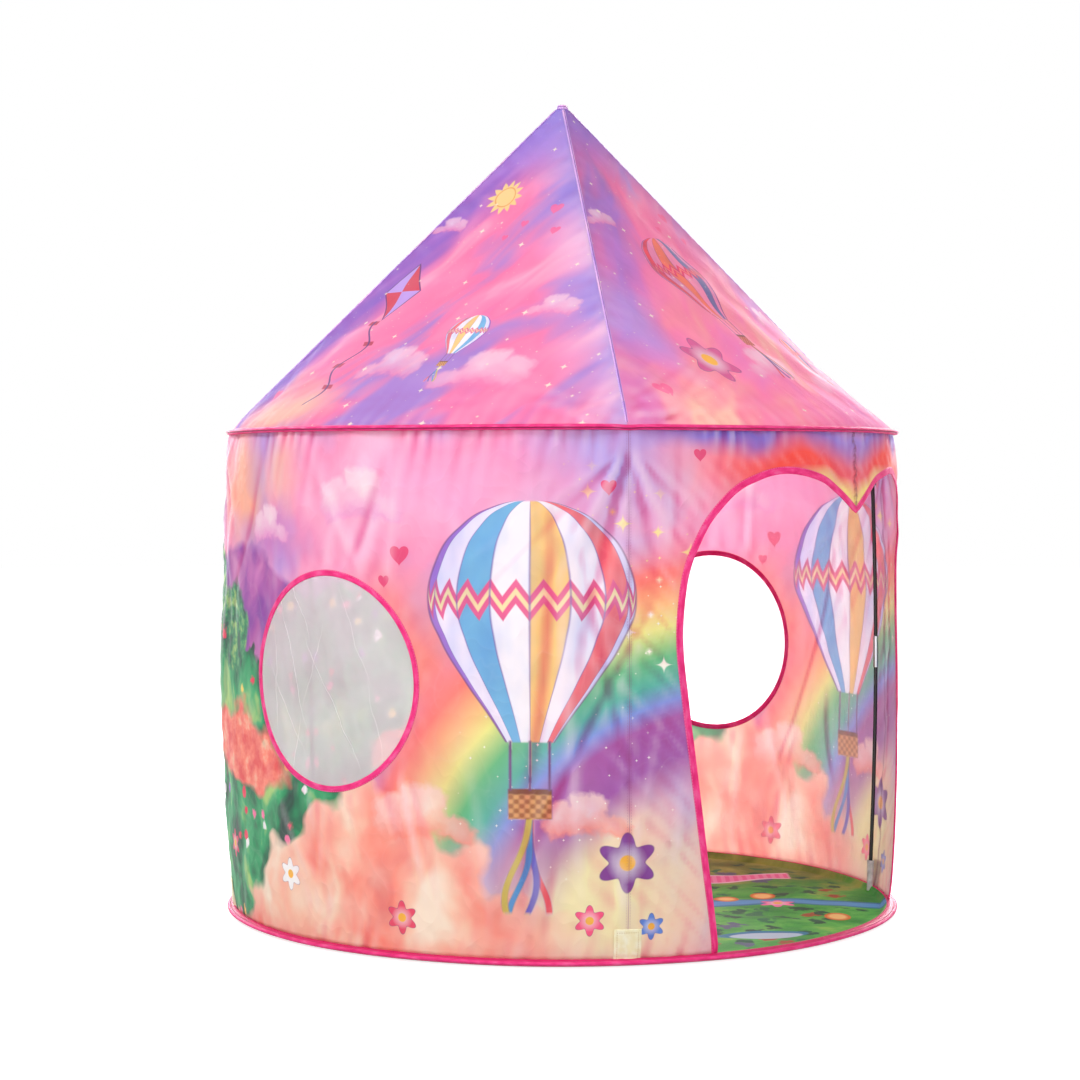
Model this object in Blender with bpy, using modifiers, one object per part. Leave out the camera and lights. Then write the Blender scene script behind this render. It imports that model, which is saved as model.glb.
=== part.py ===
"""Round play tent: a soft cylinder wall under a four-ridged roof, on a folding rod frame.

Lengths are in metres and angles in degrees. +Z is up, the doorway faces -Y, and the origin
is the centre of the floor's underside. An azimuth is counted from the doorway's axis, and
grows towards +X.
"""
import math

import bmesh
import bpy
from mathutils import Vector

# Clearances that the whole tent shares
CLEARANCE = 0.0003
CUT_OVERRUN = 0.02
FOLD_GAP = 0.0012
CORNER_TURN = 90.0
CREASE_ANGLE = 40.0

# Hoops and the folded tape that encases them
OVERALL_DIAMETER = 1.05
OVERALL_HEIGHT = 1.255
EAVE_HEIGHT = 0.741
CASING_HEIGHT = 0.013
CASING_DEPTH = 0.014
CASING_WALL = 0.0018
CASING_CHAMFER = 0.004
HOOP_WIRE_RADIUS = 0.002
HOOP_SEGMENTS = 64
WIRE_SIDES = 6
WIRE_CREASE_ANGLE = 70.0

# Cloth
CLOTH_THICKNESS = 0.0016
FLOOR_THICKNESS = 0.0016
POLE_BULGE = 0.0175
SIDE_BULGE = 0.011
BULGE_ROUNDNESS_SHARE = 0.6
GATHER_DEPTH = 0.003
GATHER_REACH = 0.13
GATHERS_PER_TURN = 24
CREASE_DEPTH = 0.0035
CREASE_WIDTH = 0.028
CREASE_SPREAD_SHARE = 0.62
CREASE_LENGTH = 0.5
WALL_COLUMNS = 48
WALL_ROWS = 9

# Doorway: its half outline, from the floor to the dip in its top edge
DOOR_HALF_AZIMUTH = 39.18
DOOR_HEADER_HEIGHT = 0.054
DOOR_OUTLINE_SHARES = [
    (0.812, 0.0),
    (0.895, 0.218),
    (0.977, 0.509),
    (1.0, 0.683),
    (0.941, 0.841),
    (0.788, 0.946),
    (0.623, 0.988),
    (0.463, 1.0),
    (0.257, 0.984),
    (0.131, 0.955),
    (0.0, 0.917),
]
DOOR_CURVE_STEPS = 3
DOOR_COLUMNS = 22
DOOR_ROWS = 10
DOOR_REACH_AZIMUTH = 44.0

# Binding tape round the doorway and the windows
BINDING_WIDTH = 0.012
BINDING_THICKNESS = 0.003

# Windows
WINDOW_DIAMETER = 0.315
WINDOW_HEIGHT = 0.384
WINDOW_AZIMUTH = 94.5
WINDOW_SEGMENTS = 32
WINDOW_CELLS = 10
MESH_THICKNESS = 0.0008

# Wall poles
POLE_AZIMUTH = 45.0
ROD_RADIUS = 0.0032
ROD_BOW = 0.009
ROD_POINTS = 9
ROD_BEVEL_STEPS = 2
FERRULE_RADIUS = 0.0042
FERRULE_BORE_CLEARANCE = 0.00045
WALL_FERRULE_LENGTH = 0.05
POCKET_END_RADIUS = 0.005
POCKET_MOUTH_RADIUS = 0.0062
POCKET_FLOOR = 0.0012
POCKET_SEAT_GAP = 0.0009
FOOT_POCKET_LENGTH = 0.045
TOP_POCKET_LENGTH = 0.066
TURNED_STEPS = 12
END_ARC_STEPS = 3

# Outer patches over the foot pockets
PATCH_WIDTH = 0.037
PATCH_HEIGHT = 0.044
PATCH_THICKNESS = 0.0012
PATCH_FLOOR_GAP = 0.002
PATCH_COLUMNS = 4
PATCH_BEND_SHARE = 0.25
PATCH_LIFT_SHARE = 0.62

# Roof
ROOF_TOP_RADIUS = 0.010
ROOF_COLUMNS = 12
ROOF_ROWS = 7
PANEL_FLATNESS_SHARE = 0.75
PANEL_FLATNESS_POWER = 2
RIDGE_FOLD_ANGLE = 35.0
ELBOW_LOWER_ARM = 0.018
ELBOW_UPPER_ARM = 0.022
ELBOW_BEND = 0.008
ELBOW_BEND_POINTS = 4
ELBOW_BEVEL_STEPS = 4
ELBOW_BORE_DEPTH = 0.009
ROOF_FERRULE_LENGTH = 0.05
ROOF_JOINT_SHARE = 0.51

# Apex hub and cap
HUB_RADIUS = 0.007
HUB_NECK_RADIUS = 0.004
HUB_NECK_LENGTH = 0.004
HUB_SHOULDER = 0.003
HUB_LENGTH = 0.034
FIN_LENGTH = 0.03
FIN_THICKNESS = 0.002
FIN_HEIGHT = 0.006
HUB_END_GAP = 0.0035
CAP_RADIUS = 0.0085
CAP_HEIGHT = 0.0072
CAP_TOP_RADIUS = 0.0075
CAP_TOP_DROP = 0.0015
APEX_STEPS = 16

# Radii and heights that follow from the sizes above
OUTER_RADIUS = OVERALL_DIAMETER / 2
MOUTH_RADIUS = OUTER_RADIUS - CASING_DEPTH
HOOP_RADIUS = OUTER_RADIUS - CASING_WALL - CLEARANCE - HOOP_WIRE_RADIUS
HEM_RADIUS = MOUTH_RADIUS + CLEARANCE + CLOTH_THICKNESS
WALL_BOTTOM = CASING_HEIGHT + CLEARANCE
WALL_TOP = EAVE_HEIGHT - CASING_HEIGHT / 2 - CLEARANCE
DOOR_HALF_WIDTH = HEM_RADIUS * math.sin(math.radians(DOOR_HALF_AZIMUTH))
DOOR_TOP_HEIGHT = EAVE_HEIGHT - DOOR_HEADER_HEIGHT
EAVE_TOP = EAVE_HEIGHT + CASING_HEIGHT / 2
ROOF_EDGE_RADIUS = MOUTH_RADIUS + CLOTH_THICKNESS
ROOF_EDGE_HEIGHT = EAVE_TOP + CLEARANCE + CLOTH_THICKNESS
ROOF_TOP_HEIGHT = OVERALL_HEIGHT - CAP_HEIGHT - CLEARANCE

PIVOT_RADIUS = MOUTH_RADIUS - POCKET_SEAT_GAP - POCKET_END_RADIUS
FOOT_HEIGHT = FLOOR_THICKNESS + CLEARANCE + POCKET_END_RADIUS
FOLD_OFFSET = (FERRULE_RADIUS + ROD_RADIUS + FOLD_GAP) / 2
ROD_BORE_RADIUS = ROD_RADIUS + FERRULE_BORE_CLEARANCE

# The ridge, in the vertical plane of a pole: how steep it is, and the rod's depth under it
RIDGE_ANGLE = math.atan2(ROOF_TOP_HEIGHT - ROOF_EDGE_HEIGHT, ROOF_EDGE_RADIUS - ROOF_TOP_RADIUS)
ALONG_RIDGE = Vector((-math.cos(RIDGE_ANGLE), 0.0, math.sin(RIDGE_ANGLE)))
RIDGE_NORMAL = Vector((math.sin(RIDGE_ANGLE), 0.0, math.cos(RIDGE_ANGLE)))
RIDGE_SIDE = Vector((0.0, -1.0, 0.0))
RIDGE_TURN = math.tan(math.radians(RIDGE_FOLD_ANGLE))
RIDGE_GAP = CLOTH_THICKNESS * RIDGE_TURN + CLEARANCE / 2
ROD_DEPTH = (FERRULE_RADIUS + CLEARANCE + CLOTH_THICKNESS) / math.cos(math.radians(RIDGE_FOLD_ANGLE))

ROD_LINE_START = Vector((ROOF_EDGE_RADIUS, 0.0, ROOF_EDGE_HEIGHT)) - ROD_DEPTH * RIDGE_NORMAL
ELBOW_CORNER = ROD_LINE_START + ALONG_RIDGE * ((ROD_LINE_START.x - PIVOT_RADIUS) / -ALONG_RIDGE.x)
TOP_HEIGHT = ELBOW_CORNER.z - ELBOW_LOWER_ARM - CLEARANCE - POCKET_END_RADIUS
KNEE_HEIGHT = (FOOT_HEIGHT + TOP_HEIGHT) / 2

FOOT_PIVOT = Vector((PIVOT_RADIUS, 0.0, FOOT_HEIGHT))
KNEE_PIVOT = Vector((PIVOT_RADIUS + ROD_BOW + FOLD_OFFSET, 0.0, KNEE_HEIGHT))
TOP_PIVOT = Vector((PIVOT_RADIUS, 0.0, TOP_HEIGHT))

ELBOW_MOUTH = ELBOW_CORNER + ELBOW_UPPER_ARM * ALONG_RIDGE
ROD_TIP_RADIUS = HUB_RADIUS + ROD_RADIUS * RIDGE_NORMAL.x + HUB_END_GAP
ROOF_SPAN = (ELBOW_MOUTH.x - ROD_TIP_RADIUS) / -ALONG_RIDGE.x
ROOF_JOINT = ELBOW_MOUTH + ROOF_JOINT_SHARE * ROOF_SPAN * ALONG_RIDGE
ROD_TIP = ELBOW_MOUTH + ROOF_SPAN * ALONG_RIDGE
RIDGE_PIVOT = ELBOW_MOUTH + CLEARANCE / 2 * ALONG_RIDGE - FOLD_OFFSET * RIDGE_NORMAL
SWING_PIVOT = ROOF_JOINT - CLEARANCE / 2 * ALONG_RIDGE + FOLD_OFFSET * RIDGE_SIDE

CORNERS = {
    "front_left": -POLE_AZIMUTH,
    "front_right": POLE_AZIMUTH,
    "back_right": POLE_AZIMUTH + CORNER_TURN,
    "back_left": -POLE_AZIMUTH - CORNER_TURN,
}
PANELS = {"front": 0.0, "right": CORNER_TURN, "back": 2 * CORNER_TURN, "left": -CORNER_TURN}
SIDES = {"left": -1.0, "right": 1.0}


# Scene, materials and placing

def empty_scene():
    for item in list(bpy.data.objects):
        bpy.data.objects.remove(item, do_unlink=True)


def new_collection(name):
    made = bpy.data.collections.new(name)
    bpy.context.scene.collection.children.link(made)
    return made


def new_material(name, colour, roughness, metallic=0.0):
    made = bpy.data.materials.new(name)
    made.use_nodes = True
    shader = made.node_tree.nodes["Principled BSDF"]
    shader.inputs["Base Color"].default_value = (*colour, 1.0)
    shader.inputs["Roughness"].default_value = roughness
    shader.inputs["Metallic"].default_value = metallic
    return made


def plane_turn(azimuth):
    """How far the X axis turns about Z to point out along an azimuth."""
    return math.radians(azimuth - 90.0)


def out_along(azimuth):
    angle = math.radians(azimuth)
    return Vector((math.sin(angle), -math.cos(angle), 0.0))


def add_part(name, data, finish):
    made = bpy.data.objects.new(name, data)
    parts.objects.link(made)
    data.materials.clear()
    data.materials.append(finish)
    return made


def add_pivot(name, place, azimuth=90.0):
    """An empty on a joint's axis. Its X axis points out along the azimuth."""
    made = bpy.data.objects.new(name, None)
    parts.objects.link(made)
    turn = plane_turn(azimuth)
    made.location = (
        place.x * math.cos(turn) - place.y * math.sin(turn),
        place.x * math.sin(turn) + place.y * math.cos(turn),
        place.z,
    )
    made.rotation_euler = (0.0, 0.0, turn)
    return made


def hang_on(item, pivot, place):
    """Parent a piece, placed in a pole's own plane, to the pivot at that place."""
    item.parent = pivot
    item.location = item.location - place


def smooth_round(mesh, angle=CREASE_ANGLE):
    mesh.shade_smooth()
    mesh.set_sharp_from_angle(angle=math.radians(angle))


# Shapes

def turned(name, profile, finish, steps=TURNED_STEPS, ring=False):
    """A profile of (radius, height) turned about Z; it runs down its outer side."""
    mesh = bpy.data.meshes.new(name)
    count = len(profile)
    edges = [(i, i + 1) for i in range(count - 1)]
    if ring:
        edges.append((count - 1, 0))
    mesh.from_pydata([(radius, 0.0, height) for radius, height in profile], edges, [])
    made = add_part(name, mesh, finish)
    screw = made.modifiers.new("Turn", "SCREW")
    screw.steps = steps
    screw.render_steps = steps
    screw.use_merge_vertices = True
    screw.merge_threshold = CLEARANCE / 6
    return made


def arc_points(centre, radius, start, end, steps):
    """Points on an arc in (radius, height), from one angle to another."""
    points = []
    for i in range(steps + 1):
        angle = math.radians(start + (end - start) * i / steps)
        points.append((centre[0] + radius * math.cos(angle), centre[1] + radius * math.sin(angle)))
    return points


def tube_curve(name, points, radius, resolution):
    """A round bar along points, as a curve."""
    curve = bpy.data.curves.new(name, "CURVE")
    curve.dimensions = "3D"
    curve.bevel_depth = radius
    curve.bevel_resolution = resolution
    curve.use_fill_caps = True
    spline = curve.splines.new("POLY")
    spline.points.add(len(points) - 1)
    for spot, point in zip(spline.points, points):
        spot.co = (*point, 1.0)
    return curve


def rod(name, points, radius=ROD_RADIUS):
    return add_part(name, tube_curve(name, points, radius, ROD_BEVEL_STEPS), rod_black)


def as_mesh_object(name, curve, collection):
    """The curve's solid as a mesh object, with its caps welded."""
    holder = bpy.data.objects.new(name, curve)
    bpy.context.scene.collection.objects.link(holder)
    shape = holder.evaluated_get(bpy.context.evaluated_depsgraph_get())
    mesh = bpy.data.meshes.new_from_object(shape)
    bpy.data.objects.remove(holder, do_unlink=True)
    work = bmesh.new()
    work.from_mesh(mesh)
    bmesh.ops.remove_doubles(work, verts=work.verts, dist=CLEARANCE / 30)
    bmesh.ops.recalc_face_normals(work, faces=work.faces)
    work.to_mesh(mesh)
    work.free()
    made = bpy.data.objects.new(name, mesh)
    collection.objects.link(made)
    return made


def hide_cutter(item):
    item.hide_render = True
    item.display_type = "WIRE"
    return item


def cylinder_cutter(name, centre, direction, radius, depth, segments):
    mesh = bpy.data.meshes.new(name)
    work = bmesh.new()
    bmesh.ops.create_cone(
        work, cap_ends=True, segments=segments, radius1=radius, radius2=radius, depth=depth
    )
    work.to_mesh(mesh)
    work.free()
    made = bpy.data.objects.new(name, mesh)
    cutters.objects.link(made)
    made.location = centre
    made.rotation_euler = direction.to_track_quat("Z", "Y").to_euler()
    return hide_cutter(made)


def boolean(item, cutter, operation="DIFFERENCE"):
    step = item.modifiers.new(cutter.name, "BOOLEAN")
    step.operation = operation
    step.object = cutter


def cloth_sheet(name, columns, rows, place, thickness, offset, finish):
    """A grid laid out by place(share across, share up), thickened to a closed solid."""
    mesh = bpy.data.meshes.new(name)
    work = bmesh.new()
    bmesh.ops.create_grid(work, x_segments=columns, y_segments=rows, size=0.5)
    for vertex in work.verts:
        vertex.co = place(vertex.co.x + 0.5, vertex.co.y + 0.5)
    work.to_mesh(mesh)
    work.free()
    smooth_round(mesh)
    made = add_part(name, mesh, finish)
    shell = made.modifiers.new("Thickness", "SOLIDIFY")
    shell.thickness = thickness
    shell.offset = offset
    return made


def blend(low, high, share):
    return low + (high - low) * share


def closing_rows(share):
    """Even shares drawn together towards both ends."""
    return (1.0 - math.cos(math.pi * share)) / 2


# Hoops, their casings and the floor

def casing(name, middle):
    """Tape folded over a hoop: a U section, open towards the tent's axis."""
    top = middle + CASING_HEIGHT / 2
    low = middle - CASING_HEIGHT / 2
    inside = OUTER_RADIUS - CASING_WALL
    shoulder = OUTER_RADIUS - CASING_CHAMFER
    profile = [
        (MOUTH_RADIUS, top),
        (shoulder, top),
        (OUTER_RADIUS, top - CASING_CHAMFER),
        (OUTER_RADIUS, low + CASING_CHAMFER),
        (shoulder, low),
        (MOUTH_RADIUS, low),
        (MOUTH_RADIUS, low + CASING_WALL),
        (inside, low + CASING_WALL),
        (inside, top - CASING_WALL),
        (MOUTH_RADIUS, top - CASING_WALL),
    ]
    return turned(name, profile, pink_tape, HOOP_SEGMENTS, ring=True)


def hoop(name, height):
    """Spring-steel wire, a plain ring."""
    bpy.ops.mesh.primitive_torus_add(
        major_segments=HOOP_SEGMENTS,
        minor_segments=WIRE_SIDES,
        major_radius=HOOP_RADIUS,
        minor_radius=HOOP_WIRE_RADIUS,
        location=(0.0, 0.0, height),
    )
    made = bpy.context.object
    made.name = name
    made.data.name = name
    smooth_round(made.data, WIRE_CREASE_ANGLE)
    made.data.materials.append(spring_steel)
    for holder in list(made.users_collection):
        holder.objects.unlink(made)
    parts.objects.link(made)
    return made


def floor_sheet():
    bpy.ops.mesh.primitive_cylinder_add(
        vertices=HOOP_SEGMENTS,
        radius=MOUTH_RADIUS - CLEARANCE,
        depth=FLOOR_THICKNESS,
        location=(0.0, 0.0, FLOOR_THICKNESS / 2),
    )
    made = bpy.context.object
    made.name = "floor"
    made.data.materials.append(floor_cloth)
    for holder in list(made.users_collection):
        holder.objects.unlink(made)
    parts.objects.link(made)
    return made


# Wall

def nearest_pole(azimuth):
    """The angle from the nearest pole, in degrees and without a sign."""
    return abs(azimuth % CORNER_TURN - POLE_AZIMUTH)


def wall_radius(azimuth, height):
    """Radius of the wall's outer face: bowed out at the poles, gathered under the eave."""
    up = min(max((height - WALL_BOTTOM) / (WALL_TOP - WALL_BOTTOM), 0.0), 1.0)
    at_pole = math.sin(math.radians(2 * azimuth)) ** 2
    bulge = blend(SIDE_BULGE, POLE_BULGE, at_pole)
    radius = HEM_RADIUS + bulge * math.sin(math.pi * up) ** BULGE_ROUNDNESS_SHARE
    down = WALL_TOP - height
    wave = (1.0 + math.cos(math.radians(azimuth * GATHERS_PER_TURN))) / 2
    radius += GATHER_DEPTH * wave * math.exp(-down / GATHER_REACH)
    aside = math.radians(nearest_pole(azimuth)) * OUTER_RADIUS
    across = (aside - CREASE_SPREAD_SHARE * down) / CREASE_WIDTH
    fade = max(0.0, 1.0 - down / CREASE_LENGTH)
    return radius + CREASE_DEPTH * fade * math.exp(-across * across)


def wall_point(azimuth, height, proud=0.0):
    spot = out_along(azimuth) * (wall_radius(azimuth, height) + proud)
    spot.z = height
    return spot


def wall_patch(name, azimuths, heights, cells, thickness, proud, finish):
    """A piece of cloth that follows the wall between two azimuths and two heights."""

    def place(across, up):
        return wall_point(blend(*azimuths, across), blend(*heights, up), proud)

    return cloth_sheet(name, cells[0], cells[1], place, thickness, -1.0, finish)


def smooth_line(points, steps):
    """Points on a smooth curve through the given ones."""
    line = []
    ends = [points[0]] + points + [points[-1]]
    for i in range(1, len(ends) - 2):
        before, start, end, after = (Vector(p) for p in ends[i - 1 : i + 3])
        for k in range(steps):
            t = k / steps
            bend = 2 * before - 5 * start + 4 * end - after
            twist = 3 * start - before - 3 * end + after
            line.append((2 * start + (end - before) * t + bend * t * t + twist * t * t * t) / 2)
    line.append(Vector(points[-1]))
    return line


def door_outline(inset):
    """The doorway's closed outline in (x, z), moved into the doorway by the inset."""
    shape = [(x * DOOR_HALF_WIDTH, z * DOOR_TOP_HEIGHT) for x, z in DOOR_OUTLINE_SHARES]
    line = smooth_line(shape, DOOR_CURVE_STEPS)
    moved = []
    for i, point in enumerate(line):
        ahead = line[min(i + 1, len(line) - 1)]
        behind = line[max(i - 1, 0)]
        run = (ahead - behind).normalized()
        moved.append(point + inset * Vector((-run.y, run.x)))
    half = [point for point in moved if point.x > CLEARANCE]
    last, before = half[-1], half[-2]
    half.append(last + (last - before) * (last.x / (before.x - last.x)))
    half.insert(0, Vector((half[0].x, -CUT_OVERRUN)))
    mirrored = [Vector((-point.x, point.y)) for point in reversed(half[:-1])]
    return half + mirrored


def door_cutter(name, inset):
    """The doorway's outline as a prism through the front of the wall."""
    near = -OUTER_RADIUS - CUT_OVERRUN
    far = -OUTER_RADIUS * math.cos(math.radians(POLE_AZIMUTH))
    curve = bpy.data.curves.new(name, "CURVE")
    curve.dimensions = "2D"
    curve.fill_mode = "BOTH"
    curve.extrude = (far - near) / 2
    spline = curve.splines.new("POLY")
    outline = door_outline(inset)
    spline.points.add(len(outline) - 1)
    for spot, point in zip(spline.points, outline):
        spot.co = (point.x, point.y, 0.0, 1.0)
    spline.use_cyclic_u = True
    made = as_mesh_object(name, curve, cutters)
    made.rotation_euler = (math.radians(90.0), 0.0, 0.0)
    made.location = (0.0, (near + far) / 2, 0.0)
    return hide_cutter(made)


def window_cutter(name, side, radius):
    azimuth = side * WINDOW_AZIMUTH
    centre = wall_point(azimuth, WINDOW_HEIGHT)
    return cylinder_cutter(
        name, centre, out_along(azimuth), radius, 4 * CUT_OVERRUN, WINDOW_SEGMENTS
    )


def wall_half(side_name, side, door_cut):
    """Half of the wall, from the seam over the doorway to the seam at the back."""
    seam = math.degrees(CLEARANCE / 2 / HEM_RADIUS)
    azimuths = sorted((side * seam, side * (180.0 - seam)))

    def place(across, up):
        height = blend(WALL_BOTTOM, WALL_TOP, closing_rows(up))
        return wall_point(blend(*azimuths, across), height)

    made = cloth_sheet(
        "wall_" + side_name, WALL_COLUMNS, WALL_ROWS, place, CLOTH_THICKNESS, -1.0, wall_cloth
    )
    hole = window_cutter("cut_wall_window_" + side_name, side, WINDOW_DIAMETER / 2 + CLEARANCE)
    boolean(made, hole)
    boolean(made, door_cut)
    return made


def door_binding(door_edge):
    """Tape along the doorway's edge, a strip as wide as the binding."""
    made = wall_patch(
        "door_binding",
        (-DOOR_REACH_AZIMUTH, DOOR_REACH_AZIMUTH),
        (WALL_BOTTOM, DOOR_TOP_HEIGHT + BINDING_WIDTH),
        (DOOR_COLUMNS, DOOR_ROWS),
        BINDING_THICKNESS,
        (BINDING_THICKNESS - CLOTH_THICKNESS) / 2,
        pink_tape,
    )
    boolean(made, door_edge, "INTERSECT")
    boolean(made, door_cutter("cut_door_opening", BINDING_WIDTH))
    return made


def window(side_name, side):
    """Tape round a window, and the mesh it holds."""
    reach = math.degrees((WINDOW_DIAMETER / 2 + CUT_OVERRUN) / HEM_RADIUS)
    azimuths = (side * WINDOW_AZIMUTH - reach, side * WINDOW_AZIMUTH + reach)
    heights = (
        WINDOW_HEIGHT - WINDOW_DIAMETER / 2 - CUT_OVERRUN,
        WINDOW_HEIGHT + WINDOW_DIAMETER / 2 + CUT_OVERRUN,
    )
    cells = (WINDOW_CELLS, WINDOW_CELLS)
    inner = WINDOW_DIAMETER / 2 - BINDING_WIDTH
    ring = wall_patch(
        "window_binding_" + side_name,
        azimuths,
        heights,
        cells,
        BINDING_THICKNESS,
        (BINDING_THICKNESS - CLOTH_THICKNESS) / 2,
        pink_tape,
    )
    rim_name = "cut_window_rim_" + side_name
    hole_name = "cut_window_hole_" + side_name
    net_name = "cut_window_mesh_" + side_name
    boolean(ring, window_cutter(rim_name, side, WINDOW_DIAMETER / 2), "INTERSECT")
    boolean(ring, window_cutter(hole_name, side, inner))
    net = wall_patch(
        "window_mesh_" + side_name,
        azimuths,
        heights,
        cells,
        MESH_THICKNESS,
        (MESH_THICKNESS - CLOTH_THICKNESS) / 2,
        window_net,
    )
    boolean(net, window_cutter(net_name, side, inner - CLEARANCE), "INTERSECT")


def foot_patch(corner, azimuth):
    """Square patch sewn outside a pole's foot, over the casing and up the wall."""
    half = math.degrees(PATCH_WIDTH / 2 / OUTER_RADIUS)
    shoulder = CASING_HEIGHT - CASING_CHAMFER
    top = PATCH_FLOOR_GAP + PATCH_HEIGHT
    bend = blend(CASING_HEIGHT, top, PATCH_BEND_SHARE)
    lift = blend(CASING_HEIGHT, top, PATCH_LIFT_SHARE)
    outside = OUTER_RADIUS + CLEARANCE
    heights = [PATCH_FLOOR_GAP, shoulder + CLEARANCE, CASING_HEIGHT + CLEARANCE, bend, lift, top]
    rows = len(heights) - 1

    def place(across, up):
        row = round(up * rows)
        where = azimuth + blend(-half, half, across)
        on_wall = wall_radius(where, heights[row]) + CLEARANCE
        radius = [outside, outside, outside - CASING_CHAMFER, on_wall, on_wall, on_wall][row]
        spot = out_along(where) * radius
        spot.z = heights[row]
        return spot

    return cloth_sheet(
        "foot_patch_" + corner, PATCH_COLUMNS, rows, place, PATCH_THICKNESS, 1.0, patch_cloth
    )


# Poles

def pole_point(height):
    """A point on a wall pole's centre line, bowed outwards, in the pole's own plane."""
    share = (height - FOOT_HEIGHT) / (TOP_HEIGHT - FOOT_HEIGHT)
    return Vector((PIVOT_RADIUS + ROD_BOW * math.sin(math.pi * share), 0.0, height))


def pole_points(low, high):
    return [pole_point(blend(low, high, i / (ROD_POINTS - 1))) for i in range(ROD_POINTS)]


def pocket(name, length, finish):
    """A sleeve closed by a round end that is centred on its joint's axis."""
    bore = ROD_RADIUS + CLEARANCE
    profile = [(0.0, -POCKET_FLOOR), (bore, -POCKET_FLOOR), (bore, length)]
    profile += [(POCKET_MOUTH_RADIUS, length)]
    profile += arc_points((0.0, 0.0), POCKET_END_RADIUS, 0.0, -90.0, END_ARC_STEPS)[:-1]
    profile += [(0.0, -POCKET_END_RADIUS)]
    return turned(name, profile, finish)


def ferrule(name, length):
    """A metal sleeve over the end of a rod; its mouth is at its origin."""
    profile = [
        (ROD_BORE_RADIUS, 0.0),
        (ROD_BORE_RADIUS, length),
        (FERRULE_RADIUS, length),
        (FERRULE_RADIUS, 0.0),
    ]
    return turned(name, profile, ferrule_steel, ring=True)


def aim(item, start, end):
    """Place a turned piece at start, with its axis towards end."""
    item.location = start
    item.rotation_euler = (end - start).to_track_quat("Z", "Y").to_euler()


def wall_pole(corner, azimuth):
    """Two rods, their pockets and the ferrule, on the foot pivot and the knee pivot."""
    foot = add_pivot("pivot_foot_" + corner, FOOT_PIVOT, azimuth)
    knee = add_pivot("pivot_knee_" + corner, KNEE_PIVOT, azimuth)
    add_pivot("pivot_top_" + corner, TOP_PIVOT, azimuth)
    rod_end = POCKET_FLOOR - CLEARANCE
    mouth = KNEE_HEIGHT + CLEARANCE / 2

    lower = rod("wall_rod_lower_" + corner, pole_points(FOOT_HEIGHT - rod_end, mouth - CLEARANCE))
    shoe = pocket("foot_pocket_" + corner, FOOT_POCKET_LENGTH, pale_tape)
    aim(shoe, FOOT_PIVOT, pole_point(FOOT_HEIGHT + FOOT_POCKET_LENGTH))
    for item in (lower, shoe):
        hang_on(item, foot, FOOT_PIVOT)

    seat = mouth + WALL_FERRULE_LENGTH / 2
    upper = rod("wall_rod_upper_" + corner, pole_points(seat, TOP_HEIGHT + rod_end))
    sleeve = ferrule("wall_ferrule_" + corner, WALL_FERRULE_LENGTH)
    aim(sleeve, pole_point(mouth), pole_point(mouth + WALL_FERRULE_LENGTH))
    cup = pocket("top_pocket_" + corner, TOP_POCKET_LENGTH, navy_tape)
    aim(cup, TOP_PIVOT, pole_point(TOP_HEIGHT - TOP_POCKET_LENGTH))
    for item in (upper, sleeve, cup):
        hang_on(item, knee, KNEE_PIVOT)


# Eave elbows and roof

def elbow(corner, azimuth):
    """A bent sleeve that joins a wall pole to its ridge rod, bored at both mouths."""
    down = Vector((0.0, 0.0, -1.0))
    start = ELBOW_CORNER + ELBOW_BEND * down
    end = ELBOW_CORNER + ELBOW_BEND * ALONG_RIDGE
    points = [ELBOW_CORNER + ELBOW_LOWER_ARM * down]
    for i in range(ELBOW_BEND_POINTS + 1):
        t = i / ELBOW_BEND_POINTS
        points.append((1 - t) ** 2 * start + 2 * t * (1 - t) * ELBOW_CORNER + t * t * end)
    points.append(ELBOW_MOUTH)
    name = "eave_elbow_" + corner
    made = as_mesh_object(name, tube_curve(name, points, FERRULE_RADIUS, ELBOW_BEVEL_STEPS), parts)
    made.data.name = name
    made.data.materials.clear()
    made.data.materials.append(ferrule_steel)
    smooth_round(made.data)
    turn = plane_turn(azimuth)
    made.rotation_euler = (0.0, 0.0, turn)
    for label, mouth, inward in (("lower", points[0], -down), ("upper", ELBOW_MOUTH, -ALONG_RIDGE)):
        depth = ELBOW_BORE_DEPTH + CUT_OVERRUN
        centre = mouth + inward * (ELBOW_BORE_DEPTH - depth / 2)
        bore = cylinder_cutter(
            "cut_elbow_" + label + "_" + corner, centre, inward, ROD_BORE_RADIUS, depth, TURNED_STEPS
        )
        bore.parent = made
        boolean(made, bore)


def roof_panel(panel, middle):
    """A cloth panel: round where the hoop holds it, nearly flat between two ridges above."""

    def place(across, up):
        ridge = blend(ROOF_EDGE_RADIUS, ROOF_TOP_RADIUS, up)
        reach = math.radians(POLE_AZIMUTH) - RIDGE_GAP / ridge
        aside = blend(-reach, reach, across)
        flat = PANEL_FLATNESS_SHARE * (1.0 - (1.0 - up) ** PANEL_FLATNESS_POWER)
        chord = math.cos(math.radians(POLE_AZIMUTH)) / math.cos(aside)
        spot = out_along(middle + math.degrees(aside)) * ridge * blend(1.0, chord, flat)
        spot.z = blend(ROOF_EDGE_HEIGHT, ROOF_TOP_HEIGHT, up)
        return spot

    return cloth_sheet(
        "roof_panel_" + panel, ROOF_COLUMNS, ROOF_ROWS, place, CLOTH_THICKNESS, -1.0, roof_cloth
    )


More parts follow.
